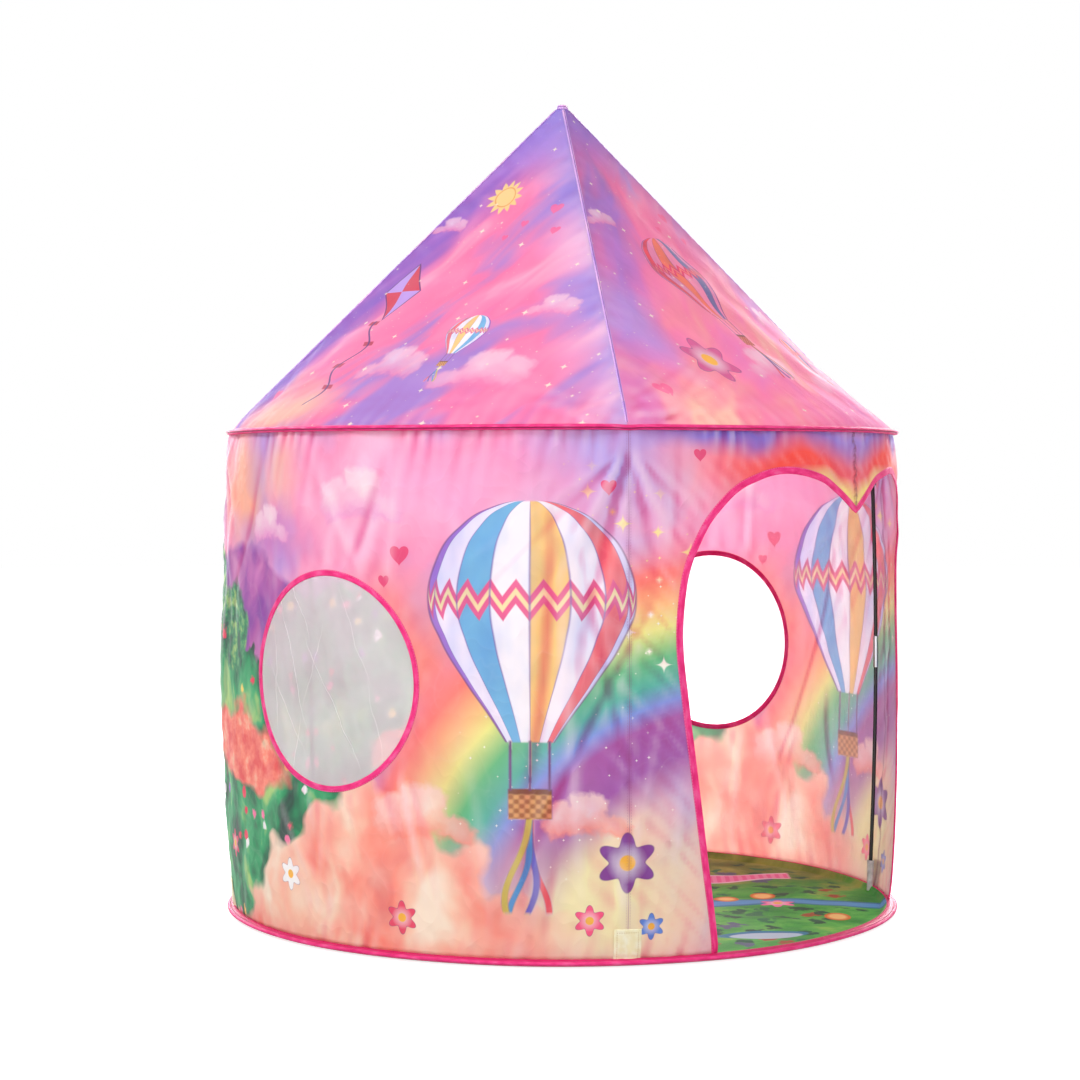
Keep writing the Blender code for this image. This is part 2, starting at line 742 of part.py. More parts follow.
def ridge_pole(corner, azimuth):
    """Two rods and their ferrule under a ridge; the upper one swings round beside the lower."""
    base = add_pivot("pivot_ridge_" + corner, RIDGE_PIVOT, azimuth)
    swing = add_pivot("pivot_swing_" + corner, SWING_PIVOT, azimuth)
    gap = CLEARANCE * ALONG_RIDGE

    lower = rod("roof_rod_lower_" + corner, [ELBOW_MOUTH + gap, ROOF_JOINT - gap])
    hang_on(lower, base, RIDGE_PIVOT)

    seat = ROOF_JOINT + ROOF_FERRULE_LENGTH / 2 * ALONG_RIDGE
    upper = rod("roof_rod_upper_" + corner, [seat, ROD_TIP])
    sleeve = ferrule("roof_ferrule_" + corner, ROOF_FERRULE_LENGTH)
    aim(sleeve, ROOF_JOINT, ROD_TIP)
    for item in (upper, sleeve):
        hang_on(item, swing, SWING_PIVOT)


# Apex

def apex_hub():
    """A boss with four fins; the tip of each ridge rod rests against the side of one."""
    low = ROOF_TOP_HEIGHT - HUB_LENGTH
    neck = ROOF_TOP_HEIGHT - HUB_NECK_LENGTH
    profile = [
        (0.0, ROOF_TOP_HEIGHT),
        (HUB_NECK_RADIUS, ROOF_TOP_HEIGHT),
        (HUB_NECK_RADIUS, neck),
        (HUB_RADIUS, neck - HUB_SHOULDER),
        (HUB_RADIUS, low),
        (0.0, low),
    ]
    made = turned("apex_hub", profile, hub_plastic, APEX_STEPS)
    inward = (ROD_TIP_RADIUS - HUB_NECK_RADIUS) / -ALONG_RIDGE.x
    run = FIN_LENGTH + inward
    aside = ROD_RADIUS + CLEARANCE + FIN_THICKNESS / 2
    centre = ROD_TIP + (inward - run / 2) * ALONG_RIDGE
    centre = centre - FIN_HEIGHT / 2 * RIDGE_NORMAL - aside * RIDGE_SIDE
    for corner, azimuth in CORNERS.items():
        mesh = bpy.data.meshes.new("fin_" + corner)
        work = bmesh.new()
        bmesh.ops.create_cube(work, size=1.0)
        bmesh.ops.scale(work, vec=(FIN_HEIGHT, FIN_THICKNESS, run), verts=work.verts)
        work.to_mesh(mesh)
        work.free()
        fin = bpy.data.objects.new("fin_" + corner, mesh)
        cutters.objects.link(fin)
        holder = bpy.data.objects.new("fin_plane_" + corner, None)
        cutters.objects.link(holder)
        holder.rotation_euler = (0.0, 0.0, plane_turn(azimuth))
        fin.parent = holder
        fin.location = centre
        fin.rotation_euler = (0.0, RIDGE_ANGLE - math.radians(90.0), 0.0)
        hide_cutter(fin)
        boolean(made, fin, "UNION")
    return made


def apex_cap():
    low = OVERALL_HEIGHT - CAP_HEIGHT
    profile = [
        (0.0, OVERALL_HEIGHT),
        (CAP_TOP_RADIUS, OVERALL_HEIGHT - CAP_TOP_DROP),
        (CAP_RADIUS, low),
        (0.0, low),
    ]
    return turned("apex_cap", profile, pink_tape, APEX_STEPS)


# Build

empty_scene()
parts = new_collection("play_tent")
cutters = new_collection("cutters")

pink_tape = new_material("pink_binding", (0.94, 0.10, 0.32), 0.55)
wall_cloth = new_material("wall_cloth", (0.90, 0.52, 0.74), 0.62)
roof_cloth = new_material("roof_cloth", (0.72, 0.42, 0.76), 0.58)
floor_cloth = new_material("floor_cloth", (0.11, 0.42, 0.09), 0.6)
window_net = new_material("window_net", (0.92, 0.90, 0.93), 0.5)
patch_cloth = new_material("patch_cloth", (0.92, 0.86, 0.70), 0.7)
pale_tape = new_material("pale_tape", (0.82, 0.80, 0.80), 0.7)
navy_tape = new_material("navy_tape", (0.03, 0.05, 0.16), 0.65)
rod_black = new_material("rod_black", (0.015, 0.015, 0.017), 0.4)
ferrule_steel = new_material("ferrule_steel", (0.66, 0.66, 0.68), 0.28, 1.0)
spring_steel = new_material("spring_steel", (0.45, 0.46, 0.48), 0.35, 1.0)
hub_plastic = new_material("hub_plastic", (0.04, 0.04, 0.045), 0.5)

floor_sheet()
hoop("base_hoop", CASING_HEIGHT / 2)
casing("base_binding", CASING_HEIGHT / 2)
hoop("eave_hoop", EAVE_HEIGHT)
casing("eave_binding", EAVE_HEIGHT)

door_edge = door_cutter("cut_door_edge", 0.0)
wall_door_cut = door_cutter("cut_wall_door", -CLEARANCE)
for side_name, side in SIDES.items():
    wall_half(side_name, side, wall_door_cut)
    window(side_name, side)
door_binding(door_edge)

for corner, azimuth in CORNERS.items():
    foot_patch(corner, azimuth)
    wall_pole(corner, azimuth)
    elbow(corner, azimuth)
    ridge_pole(corner, azimuth)

for panel, middle in PANELS.items():
    roof_panel(panel, middle)
apex_hub()
apex_cap()
bpy.context.view_layer.update()
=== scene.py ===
"""Looks of the round play tent: its cloth, tape, net, poles and print.

Lengths are in metres and angles in degrees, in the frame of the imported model: +Z is up, the
doorway faces -Y, and an azimuth is counted from the doorway's axis and grows towards +X.
"""

import math

import bmesh
import bpy
import numpy as np
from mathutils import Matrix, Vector


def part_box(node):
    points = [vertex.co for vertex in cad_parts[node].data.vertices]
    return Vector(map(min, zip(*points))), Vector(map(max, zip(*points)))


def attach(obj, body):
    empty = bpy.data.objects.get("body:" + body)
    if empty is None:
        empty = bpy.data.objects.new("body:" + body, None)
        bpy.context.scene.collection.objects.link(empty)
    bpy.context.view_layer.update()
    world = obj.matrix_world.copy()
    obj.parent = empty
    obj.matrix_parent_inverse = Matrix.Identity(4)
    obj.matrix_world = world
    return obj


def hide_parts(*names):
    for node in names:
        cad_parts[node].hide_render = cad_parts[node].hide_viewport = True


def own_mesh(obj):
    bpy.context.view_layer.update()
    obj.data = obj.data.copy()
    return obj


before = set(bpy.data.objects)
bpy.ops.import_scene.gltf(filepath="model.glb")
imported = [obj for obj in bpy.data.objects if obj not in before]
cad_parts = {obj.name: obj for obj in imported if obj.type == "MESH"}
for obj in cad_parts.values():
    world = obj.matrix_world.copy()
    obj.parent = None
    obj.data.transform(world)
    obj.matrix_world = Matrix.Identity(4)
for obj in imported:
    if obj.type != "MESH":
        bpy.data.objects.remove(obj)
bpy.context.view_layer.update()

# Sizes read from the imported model
WALL_BOTTOM, WALL_TOP = (corner.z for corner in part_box("wall_left"))
EAVE_LOW, EAVE_HIGH = (corner.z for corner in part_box("eave_binding"))
CAP_LOW, CAP_HIGH = (corner.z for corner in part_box("apex_cap"))
WINDOW_LOW, WINDOW_HIGH = (corner.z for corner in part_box("window_binding_left"))
EAVE_MIDDLE = (EAVE_LOW + EAVE_HIGH) / 2
OUTER_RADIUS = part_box("base_binding")[1].x
ROOF_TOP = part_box("roof_panel_front")[1].z
FLOOR_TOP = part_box("floor")[1].z
DOOR_HALF_WIDTH, _, DOOR_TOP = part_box("door_binding")[1]

# The wall's form, as in the model
HEM_RADIUS = 0.5129
POLE_BULGE = 0.0175
SIDE_BULGE = 0.011
BULGE_ROUNDNESS = 0.6
GATHER_DEPTH = 0.003
GATHER_REACH = 0.13
GATHERS_PER_TURN = 24
CREASE_DEPTH = 0.0035
CREASE_WIDTH = 0.028
CREASE_SPREAD = 0.62
CREASE_LENGTH = 0.5
POLE_AZIMUTH = 45.0
CLOTH_THICKNESS = 0.0008
WALL_CELL = 0.0055
WALL_HEM = 0.0095
WALL_HEAD = 0.7388
SEAM_HALF_WIDTH = 0.0036
SEAM_FOOT = 0.0105
SEAM_TOP = 0.7365
# Seams up the wall: how far round from the doorway's axis, colour of thread and painted groove shade, and
# strength
TO_POLE = math.radians(POLE_AZIMUTH) * HEM_RADIUS
WALL_SEAMS = [
    (0.0, "#8A2F52", 0.5), (TO_POLE, "#A0508E", 0.45), (3 * TO_POLE, "#A0508E", 0.45),
    (4 * TO_POLE, "#8A2F52", 0.5),
]

# The doorway's half outline in shares of its half width and height, from floor to dip
DOOR_OUTLINE_SHARES = [
    (0.812, 0.0), (0.895, 0.218), (0.977, 0.509), (1.0, 0.683), (0.941, 0.841), (0.788, 0.946),
    (0.623, 0.988), (0.463, 1.0), (0.257, 0.984), (0.131, 0.955), (0.0, 0.917),
]
DOOR_DIP = DOOR_OUTLINE_SHARES[-1][1] * DOOR_TOP
DOOR_CURVE_STEPS = 12
DOOR_REACH = 80.0
TAPE_WIDTH = 0.0105
TAPE_THICKNESS = 0.0024
WINDOW_TAPE_WIDTH = 0.0088
WINDOW_AZIMUTH = 94.5
WINDOW_RADIUS = (WINDOW_HIGH - WINDOW_LOW) / 2
WINDOW_HEIGHT = (WINDOW_HIGH + WINDOW_LOW) / 2
# The wall's radius at the windows
WINDOW_WALL_RADIUS = 0.5239
WINDOW_STEPS = 160
# Creases in the net: centre from the window's own, lean, half length and strength
NET_CREASES = [
    (-0.078, 0.040, 0.30, 0.090, 0.9), (-0.060, 0.108, 0.45, 0.035, 0.8),
    (0.006, -0.030, 0.60, 0.070, 0.9), (-0.112, -0.004, 0.05, 0.060, 0.6),
    (-0.090, -0.040, 0.62, 0.045, 0.7), (0.048, 0.065, 0.42, 0.050, 0.4),
    (-0.030, 0.020, -0.35, 0.045, 0.5), (0.085, -0.055, 0.25, 0.040, 0.35),
    (-0.066, -0.100, -0.20, 0.030, 0.6),
]
NET_THICKNESS = 0.0003
NET_SAG = 0.004
# Soft folds across the net: depth, wavelengths and seed
NET_FOLD = (0.0022, (0.07, 0.045), 21)
NET_CROSS_FOLD = (0.0022, (0.09, 0.05), 22)

# The poles' middle lines, and the patches outside their feet
POLE_RADIUS = 0.5051
POLE_BOW = 0.009
POLE_FOOT = 0.0069
POLE_HEAD = 0.72305
FOOT_POCKET_END = 0.0032
FOOT_POCKET_MOUTH = 0.051
TOP_POCKET_END = 0.7255
TOP_POCKET_MOUTH = 0.658
POCKET_RADIUS = 0.0048
POCKET_FLARE = 0.0012
POCKET_RIM_RADIUS = 0.0056
# A pocket's depth as a share of its width
POCKET_FLATNESS = 0.94
PATCH_HALF_WIDTH = 0.0195
# How far a patch lies outside the wall's surface, and bulges over its pole's foot
PATCH_PROUD = 0.0011
PATCH_BULGE = 0.0018
PATCH_LOW = 0.0092
PATCH_HIGH = 0.0525
# The half width and the height of the outline that is stitched on a patch
PATCH_BOX = (PATCH_HALF_WIDTH - 0.0045, 0.0385)
MAT_THICKNESS = 0.0009
MAT_EDGE = 0.5080
MAT_CELLS = 130
MAT_SWELL = 0.0013
# How high the floor turns up at its edge, and over what width
MAT_TURN_UP = 0.0092
MAT_TURN_WIDTH = 0.0075

# The roof's form, as in the model
ROOF_EDGE_RADIUS = 0.5126
ROOF_EDGE_HEIGHT = 0.7494
ROOF_TOP_RADIUS = 0.010
PANEL_FLATNESS = 0.75
ROOF_CELL = 0.006
ROOF_SLOPE = 0.707
ROOF_LEAN = math.radians(44.7)
ROOF_HEM = -0.0105
RIDGE_SEAM_FOOT = -0.004
RIDGE_SEAM_HEAD = 0.997
# How far a panel sags between its ridges, and how far the eave draws its foot in, over what share
PANEL_SAG = 0.005
EAVE_DRAW_IN = 0.0045
EAVE_DRAW_SHARE = 0.018
CORNER_FOLDS = 18
# Where the folds at a panel's lower corners start, from its middle, and how strong all folds are
CORNER_START = 0.40
ROOF_FOLD_GAIN = 1.4
# Ripples of a roof panel: depth, wavelengths and what is added to the panel's own seed
ROOF_EAVE_WAVE = (0.0010, (0.023, 0.037, 0.061), 0)
ROOF_RIDGE_WAVE = (0.0007, (0.043, 0.071, 0.029), 1)
ROOF_CROSS_WAVE = (0.0014, (0.16, 0.11), 2)
ROOF_SLOPE_WAVE = (0.0012, (0.14, 0.09), 3)
# How the thread draws in the ridge seams and the wall's seams
RIDGE_PINCH = (0.0003, (0.011, 0.017), 51)
SEAM_PINCH = (0.00035, (0.0043, 0.0057), 61)

# Each roof panel is split at this height into its cloth and the band under it; the height clears the rods
# when they are folded
FOLD_LINE = 0.7775
FOLD_UP = (FOLD_LINE - ROOF_EDGE_HEIGHT) / (ROOF_TOP - ROOF_EDGE_HEIGHT)
# The depth at which a fold gets its full shade
FOLD_FULL_DEPTH = 0.0022

CORNERS = {"front_left": -45.0, "front_right": 45.0, "back_right": 135.0, "back_left": -135.0}
PANELS = {"front": 0.0, "right": 90.0, "back": 180.0, "left": -90.0}
SIDES = {"left": -1.0, "right": 1.0}

# The photograph's camera
CAMERA_AZIMUTH = -55.0
CAMERA_DISTANCE = 3.83
CAMERA_HEIGHT = 0.678
CAMERA_LENS = 81.0
CAMERA_PITCH = -1.58
CAMERA_YAW = 0.52

# Lamps round the tent, all aimed at its middle: azimuth, elevation, distance, size and watts
TENT_MIDDLE = Vector((0.0, 0.0, 0.6))
LAMPS = {
    "key": (-108.0, 38.0, 3.2, 1.1, 50.0),
    "fill": (12.0, 34.0, 3.4, 1.6, 22.0),
    "front": (-50.0, 12.0, 3.6, 1.6, 42.0),
    "back_right": (108.0, 12.0, 3.2, 2.0, 190.0),
    "back": (150.0, 12.0, 3.2, 2.0, 120.0),
}
WORLD_STRENGTH = 0.44
STAGE_RADIUS = 14.0
STAGE_DROP = 0.0008


# Helpers for places and meshes

def rgb(code):
    """A colour written as in a paint program, as linear light."""
    parts = [int(code[i : i + 2], 16) / 255 for i in (1, 3, 5)]
    light = [c / 12.92 if c <= 0.04045 else ((c + 0.055) / 1.055) ** 2.4 for c in parts]
    return (*light, 1.0)


def out_along(azimuth):
    """The level unit vector that points outwards at an azimuth."""
    angle = np.radians(azimuth)
    return np.stack([np.sin(angle), -np.cos(angle), np.zeros_like(angle)], axis=-1)


def smooth(value, low, high):
    """0 under low, 1 over high, and a soft rise between them."""
    share = np.clip((value - low) / (high - low), 0.0, 1.0)
    return share * share * (3 - 2 * share)


def ripple(along, lengths, seed):
    """An uneven wave: sines of several wavelengths, with phases from the seed."""
    chance = np.random.default_rng(seed)
    total = 0.0
    for length in lengths:
        total = total + np.sin(2 * math.pi * (along / length + chance.random()))
    return total / len(lengths)


def wave(along, form, own_seed=0):
    """A ripple from its depth, wavelengths and seed, to which a piece's own seed is added."""
    depth, lengths, seed = form
    return depth * ripple(along, lengths, own_seed + seed)


def fading(distance, reach):
    """1 at no distance, and about a third at the reach."""
    return np.exp(-distance / reach)


def hump(aside, width):
    """1 in the middle, and nearly 0 at twice the width from it."""
    return np.exp(-((aside / width) ** 2))


def nearest_pole(azimuth):
    """How many degrees it is to the nearest wall pole."""
    return np.abs(azimuth % 90.0 - POLE_AZIMUTH)


def new_piece(name, verts, faces, body, finish):
    mesh = bpy.data.meshes.new(name)
    mesh.from_pydata([tuple(v) for v in verts], [], [tuple(f) for f in faces])
    mesh.shade_smooth()
    piece = bpy.data.objects.new(name, mesh)
    bpy.context.scene.collection.objects.link(piece)
    piece.data.materials.append(finish)
    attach(piece, body)
    return piece


def give_print_map(piece, places):
    """A UV map in metres, from one place for each vertex."""
    layer = piece.data.uv_layers.new(name="print")
    corners = np.empty(len(piece.data.loops), np.int32)
    piece.data.loops.foreach_get("vertex_index", corners)
    layer.data.foreach_set("uv", np.asarray(places)[corners].astype(np.float32).ravel())


# The fold shade is painted into the cloth's colour: shade in the grooves, a highlight on the crests
def fold_shade(rise, step):
    """Marks grooves below 0 and crests above 0, from a grid of how far the cloth stands out."""
    beside = (np.roll(rise, step, axis=1) + np.roll(rise, -step, axis=1)) / 2
    shade = np.clip((rise - beside) / FOLD_FULL_DEPTH, -1.0, 1.0)
    shade[:, :step] = 0.0
    shade[:, -step:] = 0.0
    return shade


def keep_shade(piece, shade):
    layer = piece.data.attributes.new("fold", "FLOAT", "POINT")
    layer.data.foreach_set("value", shade.astype(np.float32).ravel())


def grid_faces(rows, columns, closed=False):
    """Quads of a grid whose vertices run along each row in turn."""
    row, column = np.meshgrid(
        np.arange(rows - 1), np.arange(columns if closed else columns - 1), indexing="ij"
    )
    after = (column + 1) % columns
    low = row * columns
    high = (row + 1) * columns
    quads = np.stack([low + column, low + after, high + after, high + column], axis=-1)
    return quads.reshape(-1, 4)


def outward(piece):
    """Turns the faces of a closed mesh outwards."""
    fix = bmesh.new()
    fix.from_mesh(piece.data)
    bmesh.ops.recalc_face_normals(fix, faces=fix.faces)
    fix.to_mesh(piece.data)
    fix.free()


def thicken(piece, thickness, inner=None, edges=True):
    """Makes a sheet a thin solid, inwards. inner is its far side's finish; edges closes its edges."""
    shell = piece.modifiers.new("Thickness", "SOLIDIFY")
    shell.thickness = thickness
    shell.offset = -1.0
    shell.use_rim = edges
    if inner is not None:
        piece.data.materials.append(inner)
        shell.material_offset = 1
    return piece


def disc_grid(radius, cells_across):
    """A square grid bent into a disc, so that no point gathers many faces: (x, y) and its faces."""
    line = np.linspace(-1.0, 1.0, cells_across + 1)
    u, v = (a.ravel() for a in np.meshgrid(line, line))
    places = np.stack([u * np.sqrt(1 - v * v / 2), v * np.sqrt(1 - u * u / 2)], axis=-1)
    return places * radius, grid_faces(cells_across + 1, cells_across + 1)


def sweep(name, path, sides, outs, profile, closed, body, finish):
    """A strip with the profile's section, along a path with a side and an outward vector."""
    path, sides, outs = (np.asarray(a, float) for a in (path, sides, outs))
    profile = np.asarray(profile, float)
    ring = path[:, None] + sides[:, None] * profile[None, :, :1] + outs[:, None] * profile[None, :, 1:]
    count, girth = ring.shape[:2]
    steps = np.linalg.norm(np.diff(path, axis=0), axis=1)
    along = np.concatenate([[0.0], np.cumsum(steps)])
    verts = ring.reshape(-1, 3)
    if closed:
        faces = grid_faces(count + 1, girth, closed=True) % len(verts)
    else:
        faces = grid_faces(count, girth, closed=True)
    quads = [tuple(face) for face in faces]
    if not closed:
        quads.append(tuple(reversed(range(girth))))
        quads.append(tuple(range(len(verts) - girth, len(verts))))
    piece = new_piece(name, verts, quads, body, finish)
    girths = np.concatenate([[0.0], np.cumsum(np.linalg.norm(np.diff(profile, axis=0), axis=1))])
    places = np.stack(np.broadcast_arrays(along[:, None], girths[None, :]), axis=-1)
    give_print_map(piece, places.reshape(-1, 2))
    outward(piece)
    return piece


# The wall's surface

def wall_radius(azimuth, height):
    """Radius of the wall's plain form: bowed out at the poles, gathered under the eave."""
    up = np.clip((height - WALL_BOTTOM) / (WALL_TOP - WALL_BOTTOM), 0.0, 1.0)
    bulge = SIDE_BULGE + (POLE_BULGE - SIDE_BULGE) * np.sin(np.radians(2 * azimuth)) ** 2
    radius = HEM_RADIUS + bulge * np.sin(math.pi * up) ** BULGE_ROUNDNESS
    down = WALL_TOP - height
    gather = (1 + np.cos(np.radians(azimuth * GATHERS_PER_TURN))) / 2
    radius = radius + GATHER_DEPTH * gather * fading(down, GATHER_REACH)
    aside = np.radians(nearest_pole(azimuth)) * OUTER_RADIUS
    across = (aside - CREASE_SPREAD * down) / CREASE_WIDTH
    fade = np.clip(1 - down / CREASE_LENGTH, 0.0, 1.0)
    return radius + CREASE_DEPTH * fade * np.exp(-across * across)


def smooth_line(points, steps):
    """Points on a smooth curve through the given ones."""
    line = []
    ends = [points[0]] + points + [points[-1]]
    for i in range(1, len(ends) - 2):
        before, start, end, after = (Vector(p) for p in ends[i - 1 : i + 3])
        for k in range(steps):
            t = k / steps
            bend = 2 * before - 5 * start + 4 * end - after
            twist = 3 * start - before - 3 * end + after
            line.append((2 * start + (end - before) * t + bend * t * t + twist * t * t * t) / 2)
    line.append(Vector(points[-1]))
    return line


def door_line(inset):
    """The doorway's outline in (x, z) from its left foot to its right one, moved inwards."""
    shape = [(x * DOOR_HALF_WIDTH, z * DOOR_TOP) for x, z in DOOR_OUTLINE_SHARES]
    line = smooth_line(shape, DOOR_CURVE_STEPS)
    half = []
    for i, place in enumerate(line):
        run = (line[min(i + 1, len(line) - 1)] - line[max(i - 1, 0)]).normalized()
        inner = place + inset * Vector((-run.y, run.x))
        if inner.x > 0:
            half.append(inner)
    last, before = half[-1], half[-2]
    half.append(last + (last - before) * (last.x / (before.x - last.x)))
    half[-1].x = 0.0
    left = [Vector((-place.x, place.y)) for place in half]
    return np.array([tuple(p) for p in left + half[-2::-1]])


def line_distance(points, line):
    """Each point's nearest place on a line of segments, and how far that is."""
    best = np.full(len(points), 1e9)
    place = np.zeros((len(points), 2))
    for start, end in zip(line[:-1], line[1:]):
        run = end - start
        share = np.clip(((points - start) @ run) / (run @ run), 0.0, 1.0)
        spot = start + share[:, None] * run
        gap = np.linalg.norm(points - spot, axis=1)
        nearer = gap < best
        best[nearer] = gap[nearer]
        place[nearer] = spot[nearer]
    return best, place


def inside_door(points, line):
    """Which points in (x, z) lie in the doorway that the line bounds above the floor."""
    inside = np.zeros(len(points), bool)
    closed = np.vstack([line, [line[-1][0], -1.0], [line[0][0], -1.0], line[:1]])
    for start, end in zip(closed[:-1], closed[1:]):
        spans = (start[1] > points[:, 1]) != (end[1] > points[:, 1])
        rise = end[1] - start[1] if end[1] != start[1] else 1.0
        cross = start[0] + (points[:, 1] - start[1]) * (end[0] - start[0]) / rise
        inside ^= spans & (points[:, 0] < cross)
    return inside


DOOR_EDGE = door_line(0.0)
LONG_FOLDS = 96
FOLD_SEED = 11
# Folds that fan from a pole's head: spread per metre down, width, depth and length
FAN_FOLDS = [
    (0.27, 0.006, -0.0056, 0.40), (0.50, 0.009, 0.0046, 0.36), (0.85, 0.011, -0.0036, 0.30),
    (1.3, 0.013, 0.0032, 0.24),
]
# Ripples of the wall's cloth: depth, wavelengths and seed
BROAD_WAVE = (0.0026, (0.31, 0.19, 0.13), 1)
SLANTED_WAVE = (0.0020, (0.23, 0.15), 2)
EAVE_GATHERS = (0.0018, (0.023, 0.031, 0.052), 3)
EAVE_PLEATS = (0.0012, (0.014, 0.019), 4)
BASE_GATHERS = (0.0015, (0.027, 0.041, 0.067), 5)
SEAM_PUCKER = (0.0020, (0.019, 0.031), 6)
WINDOW_PUCKER = (0.0011, (0.029, 0.047), 7)
DOOR_PUCKER = (0.0011, (0.027, 0.043), 8)
POLE_PUCKER = (0.0013, (0.036, 0.058), 40)


def door_gap(azimuth, height):
    """How far a place on the wall is outside the doorway's outline; less than 0 in it."""
    across = wall_radius(azimuth, height) * np.sin(np.radians(azimuth))
    flat = np.stack([across, height], axis=-1).reshape(-1, 2)
    gap, _ = line_distance(flat, DOOR_EDGE)
    gap[inside_door(flat, DOOR_EDGE)] *= -1
    return np.where(np.abs(azimuth) < DOOR_REACH, gap.reshape(azimuth.shape), 1.0)


def window_gap(azimuth, height):
    """How far a place is outside the nearer window's outline, and the angle round it."""
    aside = WINDOW_WALL_RADIUS * np.sin(np.radians(np.abs(azimuth) - WINDOW_AZIMUTH))
    rise = height - WINDOW_HEIGHT
    gap = np.hypot(aside, rise) - WINDOW_RADIUS
    return gap, np.arctan2(rise, aside)


def wall_folds(azimuth, height):
    """How far the cloth stands out from the wall's plain form."""
    arc = np.radians(azimuth) * HEM_RADIUS
    down = WALL_TOP - height
    up = height - WALL_BOTTOM
    share = np.clip(up / (WALL_TOP - WALL_BOTTOM), 0.0, 1.0)
    loose = np.sin(math.pi * share) ** 0.7

    free = np.clip(loose * 1.6, 0.0, 1.0)
    drawn_in = np.clip(0.55 + 0.75 * ripple(arc, (0.37, 0.23), 9), 0.08, 1.0)

    rise = wave(arc + 0.35 * height, BROAD_WAVE) * loose
    rise = rise + wave(arc * 0.5 + height, SLANTED_WAVE) * loose
    rise = rise + wave(arc + 0.2 * down, EAVE_GATHERS) * fading(down, 0.04) * drawn_in
    rise = rise + wave(arc, EAVE_PLEATS) * fading(down, 0.016) * drawn_in
    rise = rise + wave(arc - 0.3 * up, BASE_GATHERS) * fading(up, 0.035) * (1.08 - drawn_in)

    chance = np.random.default_rng(FOLD_SEED)
    for _ in range(LONG_FOLDS):
        middle = chance.uniform(-math.pi, math.pi) * HEM_RADIUS
        lean = chance.normal(0.0, 0.22)
        width = chance.uniform(0.006, 0.020)
        depth = chance.choice([-1.0, 1.0]) * chance.uniform(0.14, 0.34) * width
        centre = chance.uniform(0.06, 0.98) * WALL_TOP
        reach = chance.uniform(0.06, 0.24)
        bow = chance.normal(0.0, 0.35)
        along = height - centre
        aside = np.abs(arc - middle - lean * along - bow * along * along) / width
        rise = rise + depth * np.exp(-(aside**1.5)) * np.exp(-((along / reach) ** 4)) * free

    for pole in CORNERS.values():
        off = np.radians((azimuth - pole + 180.0) % 360.0 - 180.0) * HEM_RADIUS
        rise = rise + wave(height + 0.8 * off, POLE_PUCKER) * fading(np.abs(off), 0.035) * free
        for hand in (-1.0, 1.0):
            for spread, width, depth, length in FAN_FOLDS:
                lean = spread * chance.uniform(0.75, 1.3)
                across = np.abs(off * hand - lean * (down - 0.02)) / (width + 0.03 * down)
                fade = np.clip(1 - down / (length * chance.uniform(0.7, 1.3)), 0.0, 1.0)
                fade = fade * smooth(down, 0.01, 0.05) * (off * hand > 0)
                rise = rise + depth * chance.uniform(0.5, 1.4) * fade * np.exp(-(across**1.6))

    aside = np.radians(nearest_pole(azimuth)) * HEM_RADIUS
    rise = rise + 0.0010 * hump(aside, 0.014) - 0.0010 * hump(aside, 0.003)
    seam = np.minimum(np.abs(arc), math.pi * HEM_RADIUS - np.abs(arc))
    rise = rise + wave(height, SEAM_PUCKER) * fading(seam, 0.018) - 0.0012 * hump(seam, 0.006)

    at_door = door_gap(azimuth, height)
    gap, turn = window_gap(azimuth, height)
    rise = rise * smooth(at_door, 0.004, 0.035) * smooth(gap, 0.004, 0.035)
    pull = wave(turn * WINDOW_RADIUS, WINDOW_PUCKER) * fading(np.clip(gap, 0, 1), 0.03)
    rise = rise + pull * smooth(gap, 0.0, 0.012)
    pull = wave(height + arc, DOOR_PUCKER) * fading(np.clip(at_door, 0, 1), 0.03)
    return rise + pull * smooth(at_door, 0.0, 0.012) * smooth(down, 0.0, 0.05)


def wall_surface(azimuth, height, proud=0.0):
    """Points on the wall's outer face."""
    azimuth, height = np.broadcast_arrays(np.asarray(azimuth, float), np.asarray(height, float))
    radius = wall_radius(azimuth, height) + wall_folds(azimuth, height) + proud
    points = out_along(azimuth) * radius[..., None]
    points[..., 2] = height
    return points


def azimuth_of(x, height):
    """The azimuth at which the front of the wall has this x."""
    azimuth = np.degrees(np.arcsin(np.clip(x / HEM_RADIUS, -1, 1)))
    for _ in range(3):
        azimuth = np.degrees(np.arcsin(np.clip(x / wall_radius(azimuth, height), -1, 1)))
    return azimuth


# Node trees

